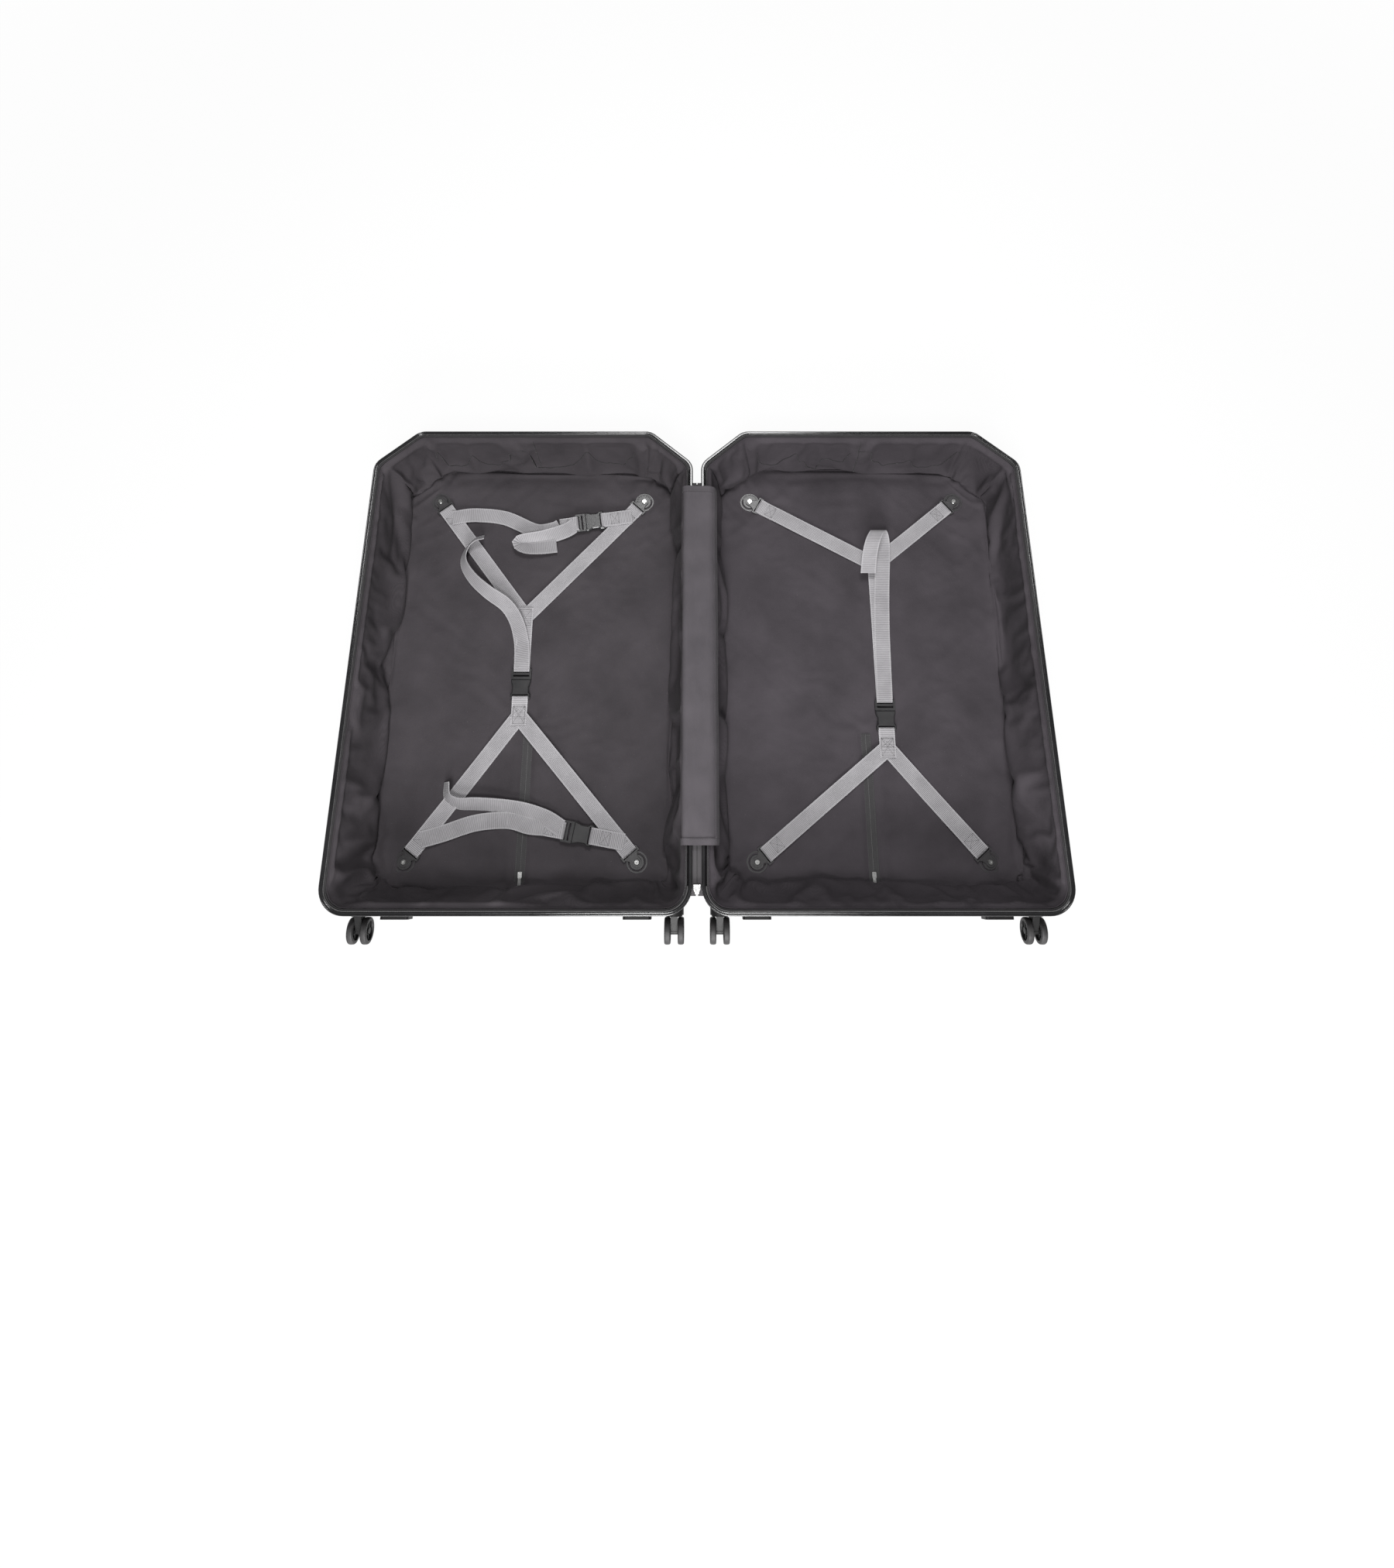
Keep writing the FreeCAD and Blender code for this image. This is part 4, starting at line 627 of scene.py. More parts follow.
def welt(name, side, path, radius=0.0011):
    """Rolled seam of the liner along a path."""
    last = len(path) - 1

    def ring(u, v):
        i = round(u * last)
        ahead = (path[min(i + 1, last)] - path[max(i - 1, 0)]).normalized()
        sideways = ahead.cross(Vector((0.3, -0.5, 0.8))).normalized()
        turn = 2 * math.pi * v
        size = radius if 0 < i < last else 0.0
        return path[i] + (sideways * math.cos(turn) + ahead.cross(sideways) * math.sin(turn)) * size
    seam = closed(shaped_grid(name, last, 6, ring, run_along(path)[-1], radius * 6))
    seam.data.shade_smooth()
    return dress(seam, "hem", side)


def on_cloth(side, start, way):
    """Where a line meets the liner, or the liner's nearest point to its start."""
    hit = CLOTH_TOP[side].ray_cast(start, way)[0] or CLOTH_TOP[side].find_nearest(start)[0]
    return hit - way * 0.0004


def liner_seams(side):
    """Seams along the foot of the far wall and up its middle."""
    foot, rise = [], []
    for i in range(111):
        drift = 0.0015 * noise.noise(Vector((i * 0.3, 0, SIGN[side])))
        start = at(side, 0.130 + 0.550 * i / 110, 0.530 + drift, 0.12)
        foot.append(on_cloth(side, start, DOWN))
    for i in range(31):
        drift = 0.002 * noise.noise(Vector((i * 0.2, 3, SIGN[side])))
        start = at(side, 0.412 + drift, 0.30, 0.022 + 0.130 * i / 30)
        rise.append(on_cloth(side, start, Vector((0, 1, 0))))
    welt(side + "_foot_seam", side, smooth_path(foot, 0.005))
    welt(side + "_middle_seam", side, smooth_path(rise, 0.005))


for side in SIDES:
    liner_seams(side)


# Rim: trim beads, zip tape with its coil, hem and its stitches
bpy.ops.object.select_all(action="DESELECT")
bpy.ops.mesh.primitive_uv_sphere_add(segments=6, ring_count=4, radius=1.0)
STITCH = bpy.context.object
STITCH.data.transform(Matrix.Rotation(math.pi / 2, 4, "Y"))


def stitches(name, points, ups, look, body, pitch, length, width):
    """Stitches at an even pitch along lines of points, each line with its own up direction."""
    size = Matrix.Diagonal((length / 2, width / 2, width / 2.4, 1.0))
    places = []
    for line, up in zip(points, ups):
        for a, b in zip(line, line[1:]):
            count = max(1, round((b - a).length / pitch))
            for i in range(count):
                places.append(frame_at(a.lerp(b, (i + 0.5) / count), b - a, up) @ size)
    return dress(copies(name, STITCH, places), look, body)


def corrugated(name, length, turns, place, radius, broad=1.15):
    """A zip coil: a tube with raised turns; place(share) gives its centre and its side and up directions."""
    def ring(u, v):
        centre, sideways, up = place(u)
        swell = 1.0 + 0.22 * math.cos(2 * math.pi * turns * u)
        swell *= 0.0 if u in (0.0, 1.0) else 1.0
        turn = 2 * math.pi * v
        return centre + (sideways * math.cos(turn) * broad + up * math.sin(turn) * 0.85) * radius * swell
    piece = closed(shaped_grid(name, turns * 3, 6, ring, length, radius * 6))
    piece.data.shade_smooth()
    return dress(piece, "zip_coil")


def rim_pieces(side):
    """Two beads on the trim, the zip tape with its coil, and the liner's hem with its stitches."""
    for number, inset in enumerate((0.0021, 0.0063)):
        section = [(inset - 0.0013 * math.cos(turn), TRIM_TOP - 0.0003 + 0.0012 * math.sin(turn))
                   for turn in (math.pi * i / 6 for i in range(7))]
        section.append(section[0])
        bead = closed(rim_strip(f"{side}_trim_bead_{number}", side, section, 420))
        dress(smooth(bead, 60), "edge_trim", side)
    section = [(TAPE_INSET, 0.1456 + 0.0165 * i / 6) for i in range(7)]
    tape = rim_strip(side + "_rim_tape", side, section, 380, 0.0, ZIP_LENGTH)
    dress(thick(tape, 0.0012), "zip_tape", side)
    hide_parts(side + "_zip_tape")

    def coil_line(u):
        centre = on_rim(side, ZIP_LENGTH * u, TAPE_INSET, RIM_COIL_Z)
        inner = on_rim(side, ZIP_LENGTH * u, TAPE_INSET + 0.001, RIM_COIL_Z)
        return centre, (inner - centre).normalized(), UP
    coil = corrugated(side + "_rim_coil", ZIP_LENGTH, 1040, coil_line, 0.0014)
    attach(coil, side)
    section = [(0.0112, 0.1585), (0.0114, 0.1606), (0.0122, 0.1614), (0.0132, 0.1611), (0.0137, 0.1600),
               (0.0140, 0.1570), (0.0144, 0.1530), (0.0149, 0.1490), (0.0152, 0.1478)]
    hem = closed(rim_strip(side + "_rim_hem", side, section, 420))
    thick(hem, 0.0008)
    dress(smooth(hem, 60), "hem", side)
    lines, ups = [], []
    pitch, inset, z = 0.0068, 0.0147, 0.1536
    count = round(RIM_LENGTH / pitch)
    for i in range(count):
        a = on_rim(side, RIM_LENGTH * i / count, inset, z)
        b = on_rim(side, RIM_LENGTH * (i + 1) / count, inset, z)
        inward = on_rim(side, RIM_LENGTH * i / count, 0.0160, z) - a
        lines.append([a, b])
        ups.append((inward.normalized() + Vector((0, 0, 0.2))).normalized())
    stitches(side + "_hem_stitches", lines, ups, "thread", side, pitch, 0.0046, 0.0013)


for side in SIDES:
    rim_pieces(side)


# Webbing
def ribbon(name, path, across=None, twist=None):
    """Webbing along a path; across fixes its width direction at folds, twist turns it about its line."""
    last = len(path) - 1
    sides = []
    for i in range(last + 1):
        ahead = (path[min(i + 1, last)] - path[max(i - 1, 0)]).normalized()
        sideways = across or UP.cross(ahead).normalized()
        sides.append(Matrix.Rotation(twist[i], 3, ahead) @ sideways if twist else sideways)

    def place(u, v):
        i = round(u * last)
        crown = 0.0003 * (1 - (2 * v - 1) ** 2)
        return path[i] + sides[i] * ((v - 0.5) * WEBBING_WIDTH) + Vector((0, 0, crown))
    piece = shaped_grid(name, last, 6, place, run_along(path)[-1], WEBBING_WIDTH)
    thick(piece, WEBBING)
    return dress(smooth(piece, 50), "webbing")


def rest_heights(side, spots, lift):
    """Heights at which webbing lies on the liner along spots, evened out so that it bridges small hollows."""
    raw = []
    for i, spot in enumerate(spots):
        ahead = spots[min(i + 1, len(spots) - 1)] - spots[max(i - 1, 0)]
        across = Vector((-ahead.y, ahead.x)).normalized() * 0.016
        raw.append(max(cloth_height(side, *(spot + across * k)) for k in (-1, 0, 1)))
    reach = 6
    near = [slice(max(0, i - reach), i + reach + 1) for i in range(len(raw))]
    top = [max(raw[part]) for part in near]
    even = [sum(top[part]) / len(top[part]) for part in near]
    return [height + WEBBING / 2 + 0.0008 + lift for height in even]


def fold_points(bar, towards, z):
    """Places of an end folded round a bar, from its cut end below to the end of its sewn part above."""
    ahead = (towards - bar).normalized()
    layer = [(FOLD_END, LAYER), (0.038, LAYER), (0.032, LAYER), (0.026, LAYER), (FOLD_TAPER, 0.0010),
             (0.013, 0.0018), (0.006, 0.0028)]
    line = [(s, -rise) for s, rise in layer]
    for turn in (math.pi * i / 8 for i in range(9)):
        line.append((-FOLD_RADIUS * math.sin(turn), -FOLD_RADIUS * math.cos(turn)))
    line += reversed(layer)
    return [(bar + ahead * s, z + rise) for s, rise in line]


def strap(name, side, bar, end, lift=0.0, z=BAR_Z, past=0.0):
    """Webbing from its fold round a bar, down to the liner and along it to its end."""
    ahead = (end - bar).normalized()
    points = fold_points(bar, end, z)
    spots = smooth_path([bar + ahead * FOLD_END, end + ahead * past], PATH_STEP)
    heights = rest_heights(side, spots, lift)
    path = [over(side, spot, height) for spot, height in points]
    run = 0.0
    for i in range(1, len(spots)):
        run += (spots[i] - spots[i - 1]).length
        height = z + LAYER + (heights[i] - z - LAYER) * eased(run / 0.085)
        path.append(over(side, spots[i], max(height, heights[i])))
    flat = over(side, end, 0) - over(side, bar, 0)
    return ribbon(name, path, across=UP.cross(flat).normalized()), path


def sewn_box(name, side, bar, towards, z, body, start=0.0215, end=0.0425, half=0.0145):
    """Box of stitches with a cross in it on a sewn end."""
    ahead = (towards - bar).normalized()
    across = Vector((-ahead.y, ahead.x))

    def spot(s, t):
        place = bar + ahead * s + across * t
        return over(side, place, z)
    box = [spot(start, -half), spot(end, -half), spot(end, half), spot(start, half)]
    lines = [[a, b] for a, b in zip(box, box[1:] + box[:1])] + [[box[0], box[2]], [box[1], box[3]]]
    return stitches(name, lines, [UP] * len(lines), "dark_thread", body, 0.0034, 0.0026, 0.0009)


def loop_place(name, join, reach):
    """Place at a reach from an anchor towards the join of its leg."""
    anchor = Vector(ANCHORS[name])
    return anchor + (join - anchor).normalized() * reach


def plug_bend(side):
    """Two points over the webbing of a half's buckle plug, 0.16 and 0.05 past the plug's bar."""
    x, buckle_y = HARNESS[side][:2]
    bar_y = buckle_y + BUCKLE_BAR
    return at(side, x, bar_y + 0.16, BAR_Z), at(side, x, bar_y + 0.05, BAR_Z)


def harness(side):
    """Two legs from the anchors of each end to their join, and a middle strap from there to the buckle."""
    x, buckle_y, upper, lower = HARNESS[side]
    for end, join_y, node in (("far", upper, side + "_strap_upper"), ("near", lower, side + "_strap_lower")):
        join = Vector((x, join_y))
        for layer, name in enumerate((end + "_outer", end + "_hinge")):
            bar = loop_place(name, join, BAR_REACH)
            loop = f"{side}_anchor_loop_{name}"
            leg, _ = strap(f"{side}_leg_{name}", side, bar, join, 0.0018 * layer, past=0.012)
            ahead = (join - bar).normalized()
            bend_start, bend_end = bar + ahead * 0.130, bar + ahead * 0.050
            over(side, bend_start, BAR_Z)
            over(side, bend_end, BAR_Z)
            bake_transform(leg)
            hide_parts(node)
            sewn_box(f"{side}_sewn_{name}", side, bar, join, BAR_Z + SEWN_TOP, loop)
        up = 1.0 if end == "far" else -1.0
        bar = Vector((x, buckle_y + up * BUCKLE_BAR))
        middle, path = strap(f"{side}_middle_{end}", side, bar, join, 0.0040, past=0.024)
        body = side + "_buckle_plug" if end == "far" else side
        if end == "far":
            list(plug_bend(side))
            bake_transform(middle)
        else:
            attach(middle, side)
        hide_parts(node)
        sewn_box(f"{side}_sewn_buckle_{end}", side, bar, join, BAR_Z + SEWN_TOP, body)
        patch_z = path[-1].z + WEBBING / 2 + 0.0004
        sewn_box(f"{side}_sewn_join_{end}", side, join, join + Vector((0, up)), patch_z, side, -0.022, 0.019)


for side in SIDES:
    harness(side)


def loose_end(name, side, spots, lifts, twists, body, start, end):
    """A free tail of webbing through spots of a half, lifted and twisted along its way."""
    flat = smooth_path([Vector((x, y, lift)) for (x, y), lift in zip(spots, lifts)], PATH_STEP)
    path = []
    for point in flat:
        low = cloth_height(side, point.x, point.y) + WEBBING / 2 + 0.0010
        path.append(over(side, point, max(low, point.z)))
    turns = smooth_path([Vector((i, angle, 0)) for i, angle in enumerate(twists)], 0.01)
    last = len(path) - 1
    twist = [math.radians(turns[round(i / last * (len(turns) - 1))].y) * SIGN[side] for i in range(last + 1)]
    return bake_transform(ribbon(name, path, twist=twist))


def tails():
    """The lid's tail stands in a loop at its far end; the base's tail curls away beside the middle strap."""
    x, buckle_y = HARNESS["lid"][:2]
    bar_y = buckle_y + BUCKLE_BAR
    line = [(x, bar_y + 0.004, 0.0200), (x + 0.001, bar_y + 0.03, 0.0190), (x + 0.003, 0.000, 0.0170),
            (x + 0.006, 0.090, 0.0165), (x + 0.012, 0.190, 0.0180), (x + 0.018, 0.265, 0.0220),
            (x + 0.020, 0.315, 0.0270), (x + 0.014, 0.340, 0.0400), (x + 0.004, 0.338, 0.0560),
            (x - 0.010, 0.312, 0.0600), (x - 0.019, 0.275, 0.0500), (x - 0.023, 0.232, 0.0360)]
    path = smooth_path([at("lid", *spot) for spot in line], 0.005)
    piece = ribbon("lid_tail", path, across=Vector((-1, 0, 0)))
    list(plug_bend("lid"))
    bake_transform(piece)
    x, buckle_y = HARNESS["base"][:2]
    bar_y = buckle_y + BUCKLE_BAR
    loose_end("base_tail", "base",
              [(x, bar_y + 0.004), (x + 0.001, bar_y + 0.03), (x + 0.006, 0.062), (x + 0.022, 0.113),
               (0.480, 0.153), (0.527, 0.186), (0.568, 0.222), (0.594, 0.262), (0.592, 0.296), (0.572, 0.325),
               (0.548, 0.334)],
              [0.0200, 0.0190, 0.0170, 0.0190, 0.0210, 0.0230, 0.0250, 0.0260, 0.0260, 0.0250, 0.0240],
              [0, 0, 4, 18, 38, 52, 58, 60, 62, 60, 54], "base_buckle_plug", *plug_bend("base"))


tails()


def ties():
    """Slack cross straps of the base with their tails."""
    joins = {"far": HARNESS["base"][2], "near": HARNESS["base"][3]}
    ways = {"far": ([(0.577, 0.398), (0.500, 0.390)], (0.420, 0.356), [(0.372, 0.358)]),
            "near": ([(0.590, -0.396), (0.515, -0.372)], (0.440, -0.366), [(0.390, -0.378)])}
    for end, (outer_way, bend, inner_way) in ways.items():
        join = Vector((HARNESS["base"][0], joins[end]))
        outer, hinge = (loop_place(f"{end}_{name}", join, BAR_REACH + 0.032) for name in ("outer", "hinge"))
        bend, plug = Vector(bend), f"tie_plug_{end}"
        buckle = hinge + (bend - hinge).normalized() * 0.100
        along = (hinge - buckle).normalized()
        plug_bar, socket_bar = buckle - along * BUCKLE_BAR, buckle + along * BUCKLE_BAR
        fold_end = plug_bar - along * FOLD_END
        spots = smooth_path([outer, *[Vector(way) for way in outer_way], bend,
                             *[Vector(way) for way in inner_way], fold_end], PATH_STEP)
        heights = rest_heights("base", spots, 0.0)
        total, run = len(spots) - 1, []
        for i, height in enumerate(heights):
            rise = eased(max(1 - i * PATH_STEP / 0.09, 1 - (total - i) * PATH_STEP / 0.075))
            run.append(over("base", spots[i], height + (TIE_Z + LAYER - height) * rise))
        split = min(range(len(spots)), key=lambda i: (spots[i] - bend).length)
        first = ribbon(f"tie_{end}_outer", run[:split + 1])
        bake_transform(first)
        fold = [over("base", spot, z) for spot, z in fold_points(plug_bar, plug_bar - along, TIE_Z)]
        second = ribbon(f"tie_{end}_buckle", run[split:])
        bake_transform(second)
        flat = over("base", plug_bar, 0) - over("base", fold_end, 0)
        nose = ribbon(f"tie_{end}_fold", fold, across=UP.cross(flat).normalized())
        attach(nose, plug)
        sewn_box(f"tie_{end}_sewn_plug", "base", plug_bar, plug_bar - along, TIE_Z + SEWN_TOP, plug)
        short, _ = strap(f"tie_{end}_short", "base", socket_bar, hinge, 0.0, TIE_Z, 0.010)
        over("base", socket_bar, TIE_Z)
        over("base", hinge, TIE_Z)
        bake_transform(short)
        sewn_box(f"tie_{end}_sewn_socket", "base", socket_bar, hinge, TIE_Z + SEWN_TOP, "base")
        for piece in (first, second, nose, short):
            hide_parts(f"tie_strap_{end}")
    loose_end("tie_far_tail", "base",
              [(0.314, 0.369), (0.340, 0.352), (0.398, 0.334), (0.446, 0.326), (0.458, 0.316), (0.436, 0.305),
               (0.400, 0.306), (0.361, 0.312)],
              [0.0215, 0.0205, 0.0175, 0.0165, 0.0190, 0.0205, 0.0190, 0.0180], [0, 2, 6, 20, 35, 20, 8, 4],
              "tie_plug_far", at("base", 0.400, 0.334, BAR_Z), at("base", 0.330, 0.360, BAR_Z))
    loose_end("tie_near_tail", "base",
              [(0.315, -0.383), (0.350, -0.362), (0.400, -0.345), (0.450, -0.336), (0.514, -0.330),
               (0.556, -0.329), (0.583, -0.314), (0.587, -0.280)],
              [0.0215, 0.0205, 0.0180, 0.0180, 0.0190, 0.0215, 0.0240, 0.0260], [0, 0, 2, 4, 10, 30, 52, 60],
              "tie_plug_near", at("base", 0.400, -0.345, BAR_Z), at("base", 0.330, -0.374, BAR_Z))


ties()


# Hinge: flap, gusset of two tapes, coil
# The flap's section over the two rims, x and z in millimetres
FLAP = [(-22.0, 140.5), (-27.5, 146.0), (-30.5, 153.0), (-31.0, 160.0), (-28.0, 165.8), (-22.0, 168.4),
        (-14.0, 168.2), (-5.0, 166.9), (3.0, 166.3), (11.0, 166.8), (19.0, 167.4), (27.0, 167.3),
        (34.0, 165.8), (40.0, 162.6), (44.5, 157.5), (47.5, 151.0), (49.0, 145.0), (49.8, 140.5)]
FLAP_LOW_Y, FLAP_HIGH_Y = -0.3945, 0.4415
FLAP_HEM, FLAP_END = 0.023, 0.014


def flap_line(lift=0.0):
    """The flap's section, moved out by the lift."""
    line = smooth_path([Vector((x / 1000, 0, z / 1000)) for x, z in FLAP], 0.0025)
    lifted = []
    for i, point in enumerate(line):
        ahead = line[min(i + 1, len(line) - 1)] - line[max(i - 1, 0)]
        lifted.append(point + Vector((-ahead.z, 0, ahead.x)).normalized() * lift)
    return lifted


def flap_spot(line, share, y):
    """Point of the rippled flap at a share of its section."""
    i = min(len(line) - 1, max(0, round(share * (len(line) - 1))))
    point = line[i]
    ripple = noise.noise(Vector((point.x * 34, y * 9, 2.0))) * 0.0022
    ripple += noise.noise(Vector((point.x * 60, y * 26, 7.0))) * 0.0009
    ease = math.sin(math.pi * clamped(share))  # least at the flap's two edges
    return Vector((point.x + ripple * 0.4, y, point.z + ripple * (0.35 + 0.65 * ease)))


def flap_pieces():
    """The flap with a wide hem on the lid's side, a narrow one at either end, and their stitches."""
    line = flap_line()
    last = len(line) - 1
    across = run_along(line)[-1]
    length = FLAP_HIGH_Y - FLAP_LOW_Y
    flap = shaped_grid("hinge_cover", 230, last,
                       lambda u, v: flap_spot(line, v, FLAP_LOW_Y + length * u), length, across)
    thick(flap, 0.0016, -1.0 if flap.data.polygons[0].normal.x < 0 else 1.0)
    dress(smooth(flap, 60), "flap_twill")

    def hem(name, columns, rows, lift, start, low, high, thickness):
        lifted = flap_line(lift)
        piece = shaped_grid("hinge_cover_" + name, columns, rows, lambda u, v: flap_spot(
            lifted, start + (1 - start) * v, low + (high - low) * u), high - low, across * (1 - start))
        return dress(smooth(thick(piece, thickness), 60), "flap_twill")
    hem_start = 1.0 - FLAP_HEM / across
    hems = [hem("hem", 230, 10, 0.0012, hem_start, FLAP_LOW_Y, FLAP_HIGH_Y, 0.0012),
            hem("end_near", 6, last, 0.0011, 0.0, FLAP_LOW_Y - 0.0006, FLAP_LOW_Y + FLAP_END, 0.0010),
            hem("end_far", 6, last, 0.0011, 0.0, FLAP_HIGH_Y - FLAP_END, FLAP_HIGH_Y + 0.0006, 0.0010)]
    top_line = flap_line(0.0021)
    lines, ups = [], []
    count = 170
    ways = [FLAP_LOW_Y + 0.004 + (length - 0.008) * i / count for i in range(count + 1)]
    for share in (hem_start + 0.022, 0.985):
        i = round(share * last)
        ahead = line[min(i + 1, last)] - line[i - 1]
        lines.append([flap_spot(top_line, share, y) for y in ways])
        ups.append(Vector((-ahead.z, 0, ahead.x)).normalized())
    for y in (FLAP_LOW_Y + 0.0115, FLAP_HIGH_Y - 0.0115):
        spots = [flap_spot(top_line, 0.03 + 0.94 * i / 22, y) for i in range(23)]
        for a, b in zip(spots, spots[1:]):
            lines.append([a, b])
            ups.append(Vector((-(b - a).z, 0, (b - a).x)).normalized())
    sewing = stitches("hinge_cover_stitches", lines, ups, "dark_thread", None,
                      0.0049, 0.0034, 0.0010)
    for piece in (flap, *hems, sewing):
        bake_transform(piece)
    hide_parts("hinge_flap")


flap_pieces()


def gusset_pieces():
    """Two tapes and their coil between the halves; past the near corners the tapes widen with the rims."""
    low, high, z = -0.4970, 0.4570, 0.1520
    length, half, inner = high - low, 0.0118, 0.0012
    corner_y = RIM_MIDDLE_Y - RIM_HALF_LENGTH + NEAR_ROUND

    def tape(sign):
        def place(u, v):
            past = max(0.0, corner_y - (low + length * u))
            flare = NEAR_ROUND - math.sqrt(NEAR_ROUND ** 2 - past ** 2)
            x = HINGE_X + sign * (inner + (half + flare - inner) * v)
            sag = 0.0008 * math.sin(math.pi * v) + 0.0003 * noise.noise(Vector((u * 40, v * 2, sign)))
            return Vector((x, low + length * u, z - sag))
        return place
    pieces = []
    for name, sign in (("base", -1.0), ("lid", 1.0)):
        piece = thick(shaped_grid("gusset_tape_" + name, 200, 6, tape(sign), length, half), 0.0011)
        pieces.append(dress(smooth(piece, 60), "gusset_tape"))

    def coil_line(u):
        return Vector((HINGE_X, low + 0.004 + (length - 0.008) * u, z + 0.0001)), Vector((1, 0, 0)), UP
    pieces.append(corrugated("gusset_coil", length, 390, coil_line, 0.0011))
    for piece in pieces:
        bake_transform(piece)
    for tape_piece in pieces[:2]:
        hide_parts("hinge_gusset")


gusset_pieces()


def liner_zips(side):
    """Zip down the middle of the liner's floor: two tapes sewn in, and their coil."""
    low, high = LINER_ZIP
    length, width = high - low, 0.026
    middle = LINER_FLOOR + 0.0009

    def place(u, v):
        return at(side, HALF_MIDDLE + (v - 0.5) * width, low + length * u, middle)
    tape = thick(shaped_grid(side + "_floor_zip_tape", 60, 10, place, length, width), 0.0009)
    dress(smooth(tape, 60), "zip_tape", side)
    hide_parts(side + "_liner_zip")

    def coil_line(u):
        return at(side, HALF_MIDDLE, low + length * u, middle), Vector((1, 0, 0)), UP
    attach(corrugated(side + "_floor_zip_coil", length, 140, coil_line, 0.00094, 2.3), side)
    z, ends = middle + 0.0010, (low + 0.004, high - 0.004)
    edges = HALF_MIDDLE - 0.0105, HALF_MIDDLE + 0.0105
    lines = [[at(side, x, y, z) for y in ends] for x in edges]
    lines += [[at(side, x, y, z) for x in edges] for y in ends]
    stitches(side + "_floor_zip_stitches", lines, [UP] * 4, "dark_thread", side,
             0.0044, 0.0030, 0.0009)


for side in SIDES:
    liner_zips(side)


# Casters: tyres round the moulded wheels
def tyre(wheel):
    """A rounded tread turned round a wheel's own middle."""
    low, high = (Vector(corner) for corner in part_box(wheel))
    centre = (low + high) / 2
    half, radius = (high.x - low.x) / 2 + 0.00012, (high.z - low.z) / 2 + 0.00015
    shoulder = 0.0036
    profile = [(radius - 0.0075, -half), (radius - 0.0040, -half)]
    for turn in (math.pi * i / 12 for i in range(1, 7)):
        profile.append((radius - shoulder * (1 - math.sin(turn)), -half + shoulder * (1 - math.cos(turn))))
    profile += [(radius + 0.00015, -0.0012), (radius + 0.00015, 0.0012)]
    profile += [(r, -x) for r, x in reversed(profile[:8])]
    profile.append(profile[0])
    last = len(profile) - 1

    def place(u, v):
        r, x = profile[round(v * last)]
        turn = 2 * math.pi * u
        return centre + Vector((x, r * math.cos(turn), r * math.sin(turn)))
    piece = closed(shaped_grid(wheel.replace("wheel", "tyre"), 56, last, place, 2 * math.pi * radius, 0.03))
    return dress(smooth(piece, 45), "tyre", wheel)


for side in SIDES:
    for place in ("outer", "hinge"):
        for twin in ("a", "b"):
            tyre(f"{side}_caster_wheel_{place}_{twin}")

# Finishes of the carried-over solids
SLOT_OF = {part["node"]: part["material_slot"] for part in frame["record"]["subparts"]}
for name, node in frame["nodes"].items():
    look = "caster_plastic" if "caster_wheel" in name else SLOT_OF[name]
    # Solids in the lining slot take the base's copy, which is darkened as painted shade.
    if look == "lining":
        look = "lining_base"
    for slot in node.material_slots:
        slot.material = FINISH[look]

bpy.data.objects.remove(STITCH)


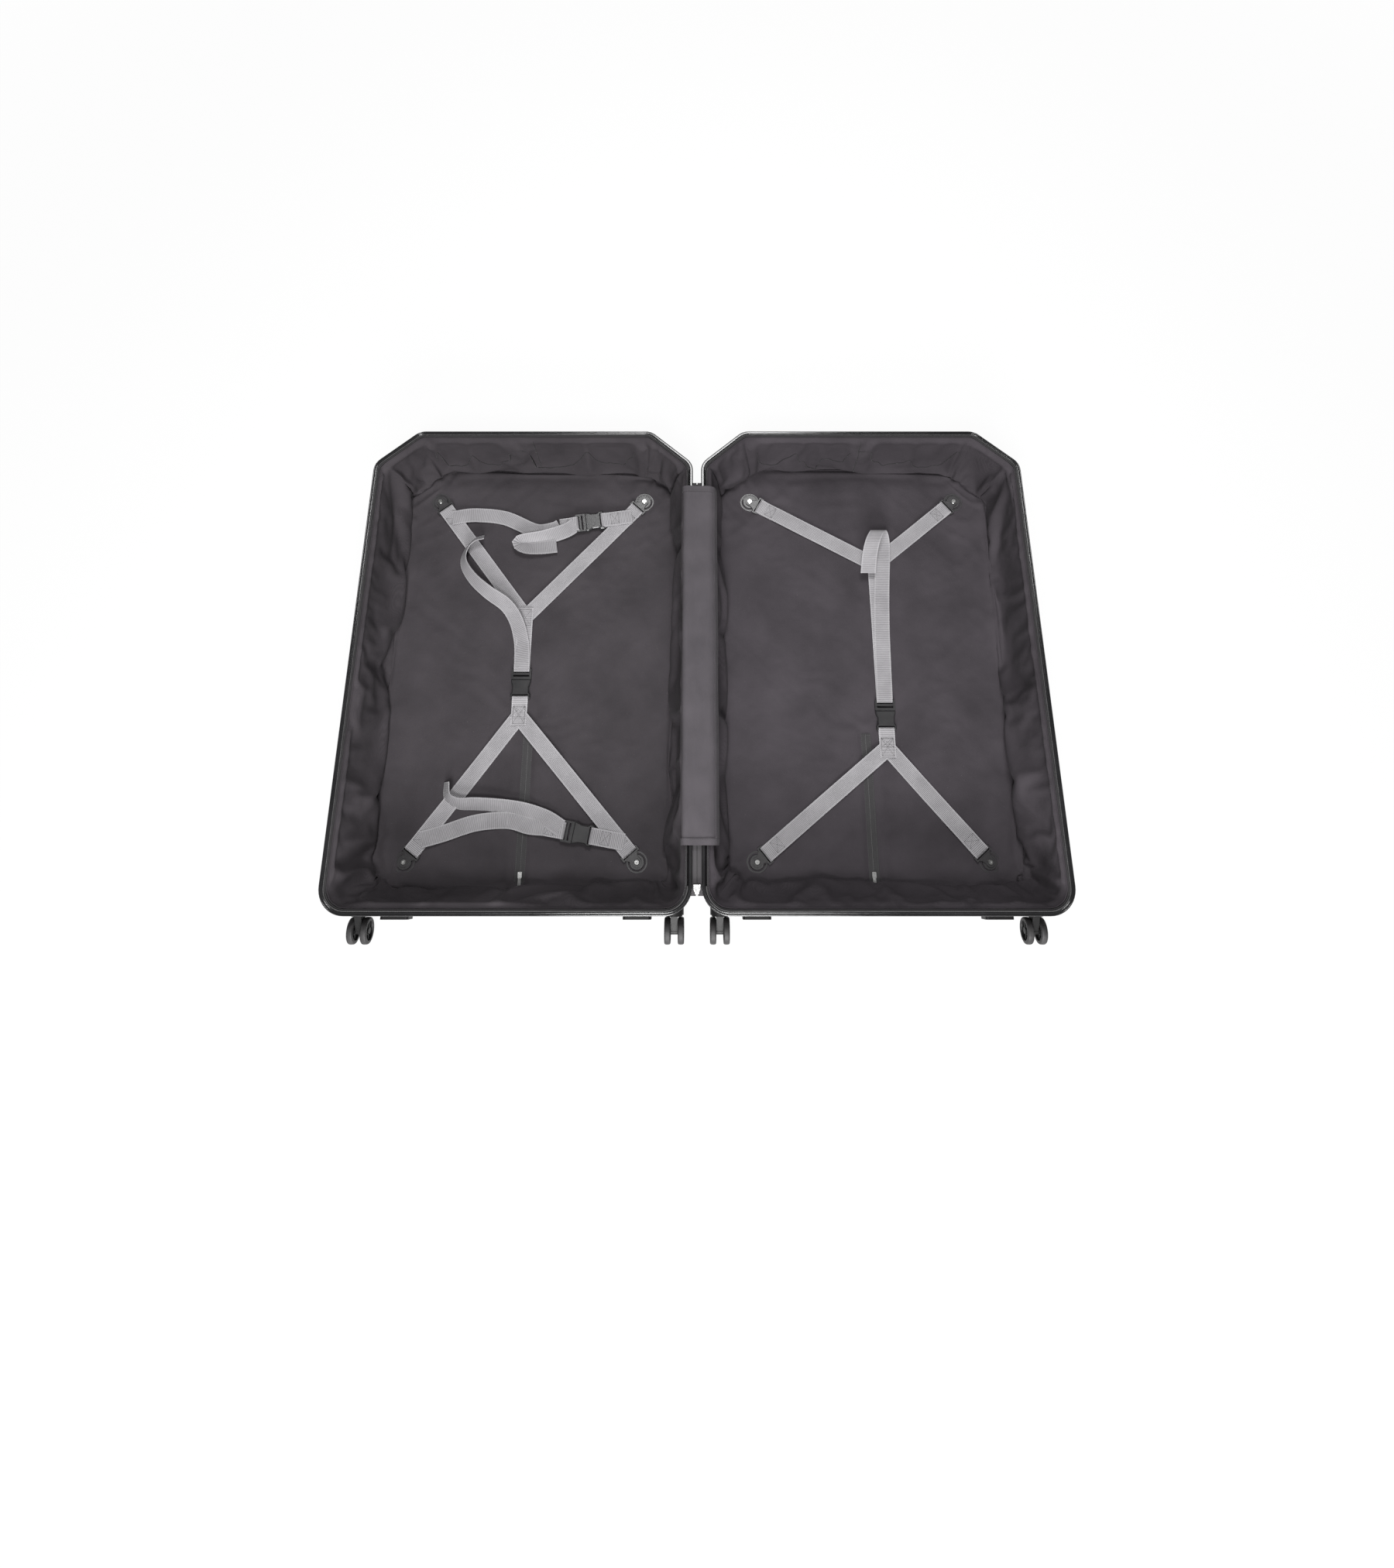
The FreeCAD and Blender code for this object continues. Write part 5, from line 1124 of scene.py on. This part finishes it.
# Studio
def pale_floor():
    """White ground that takes soft shadows near the case and turns pure white far from it."""
    bpy.ops.object.select_all(action="DESELECT")
    bpy.ops.mesh.primitive_plane_add(size=24.0, location=(0, 0, -0.0005))
    floor = bpy.context.object
    floor.name = "floor"
    bpy.ops.object.transform_apply(location=True, rotation=False, scale=True)
    paper = bpy.data.materials.new("pale_paper")
    paper.use_nodes = True
    v = Value(paper.node_tree)
    paper.node_tree.nodes.remove(paper.node_tree.nodes["Principled BSDF"])
    seen = v.node("ShaderNodeLightPath", output="Is Camera Ray")
    seen = seen + v.node("ShaderNodeLightPath", output="Is Glossy Ray")
    reach = v.node("ShaderNodeVectorMath", {"operation": "LENGTH"}, {0: v.place()}, output="Value")
    far = reach.above(2.8, 1.4)
    tone = v.mix(v.cloud(40.0), (0.86, 0.86, 0.86), (0.90, 0.90, 0.90))
    matt = v.node("ShaderNodeBsdfDiffuse", sockets={0: tone})
    white = v.node("ShaderNodeEmission", sockets={0: (1, 1, 1, 1), 1: 1.0})
    shader = v.node("ShaderNodeMixShader", sockets={0: seen * (far * 0.08 + 0.92), 1: matt, 2: white})
    paper.node_tree.links.new(shader.socket, paper.node_tree.nodes["Material Output"].inputs[0])
    floor.data.materials.append(paper)


def lamp(name, place, target, size, energy):
    bpy.ops.object.light_add(type="AREA", location=place)
    light = bpy.context.object
    light.name = name
    set_all(light.data, shape="DISK", size=size, energy=energy)
    light.rotation_euler = (Vector(target) - Vector(place)).to_track_quat("-Z", "Y").to_euler()


def studio():
    pale_floor()
    lamp("key", (-0.35, -1.5, 2.9), (0.0, 0.1, 0.0), 0.9, 56.0)
    lamp("top", (0.15, 1.4, 2.8), (0.0, -0.1, 0.0), 1.2, 62.0)
    lamp("front", (0.05, -3.1, 1.6), (0.0, 0.3, 0.05), 1.6, 150.0)
    world = bpy.data.worlds.new("studio")
    world.use_nodes = True
    bpy.context.scene.world = world
    v = Value(world.node_tree)
    seen = v.node("ShaderNodeLightPath", output="Is Camera Ray")
    seen = seen + v.node("ShaderNodeLightPath", output="Is Transmission Ray")
    back = world.node_tree.nodes["Background"]
    back.inputs[0].default_value = (1, 1, 1, 1)
    level = seen * 0.89 + 0.11
    world.node_tree.links.new(level.socket, back.inputs[1])


def photo_camera():
    bpy.ops.object.camera_add(location=(HINGE_X, -0.4278, 2.1381), rotation=(math.radians(19), 0, 0))
    camera = bpy.context.object
    camera.name = "photo_camera"
    sensor = 36.0
    set_all(camera.data, sensor_fit="VERTICAL", sensor_height=sensor, lens=sensor * 1131.5 / 2025,
            shift_y=-0.143)
    bpy.context.scene.camera = camera


studio()
photo_camera()
bpy.context.scene.view_settings.view_transform = "Standard"
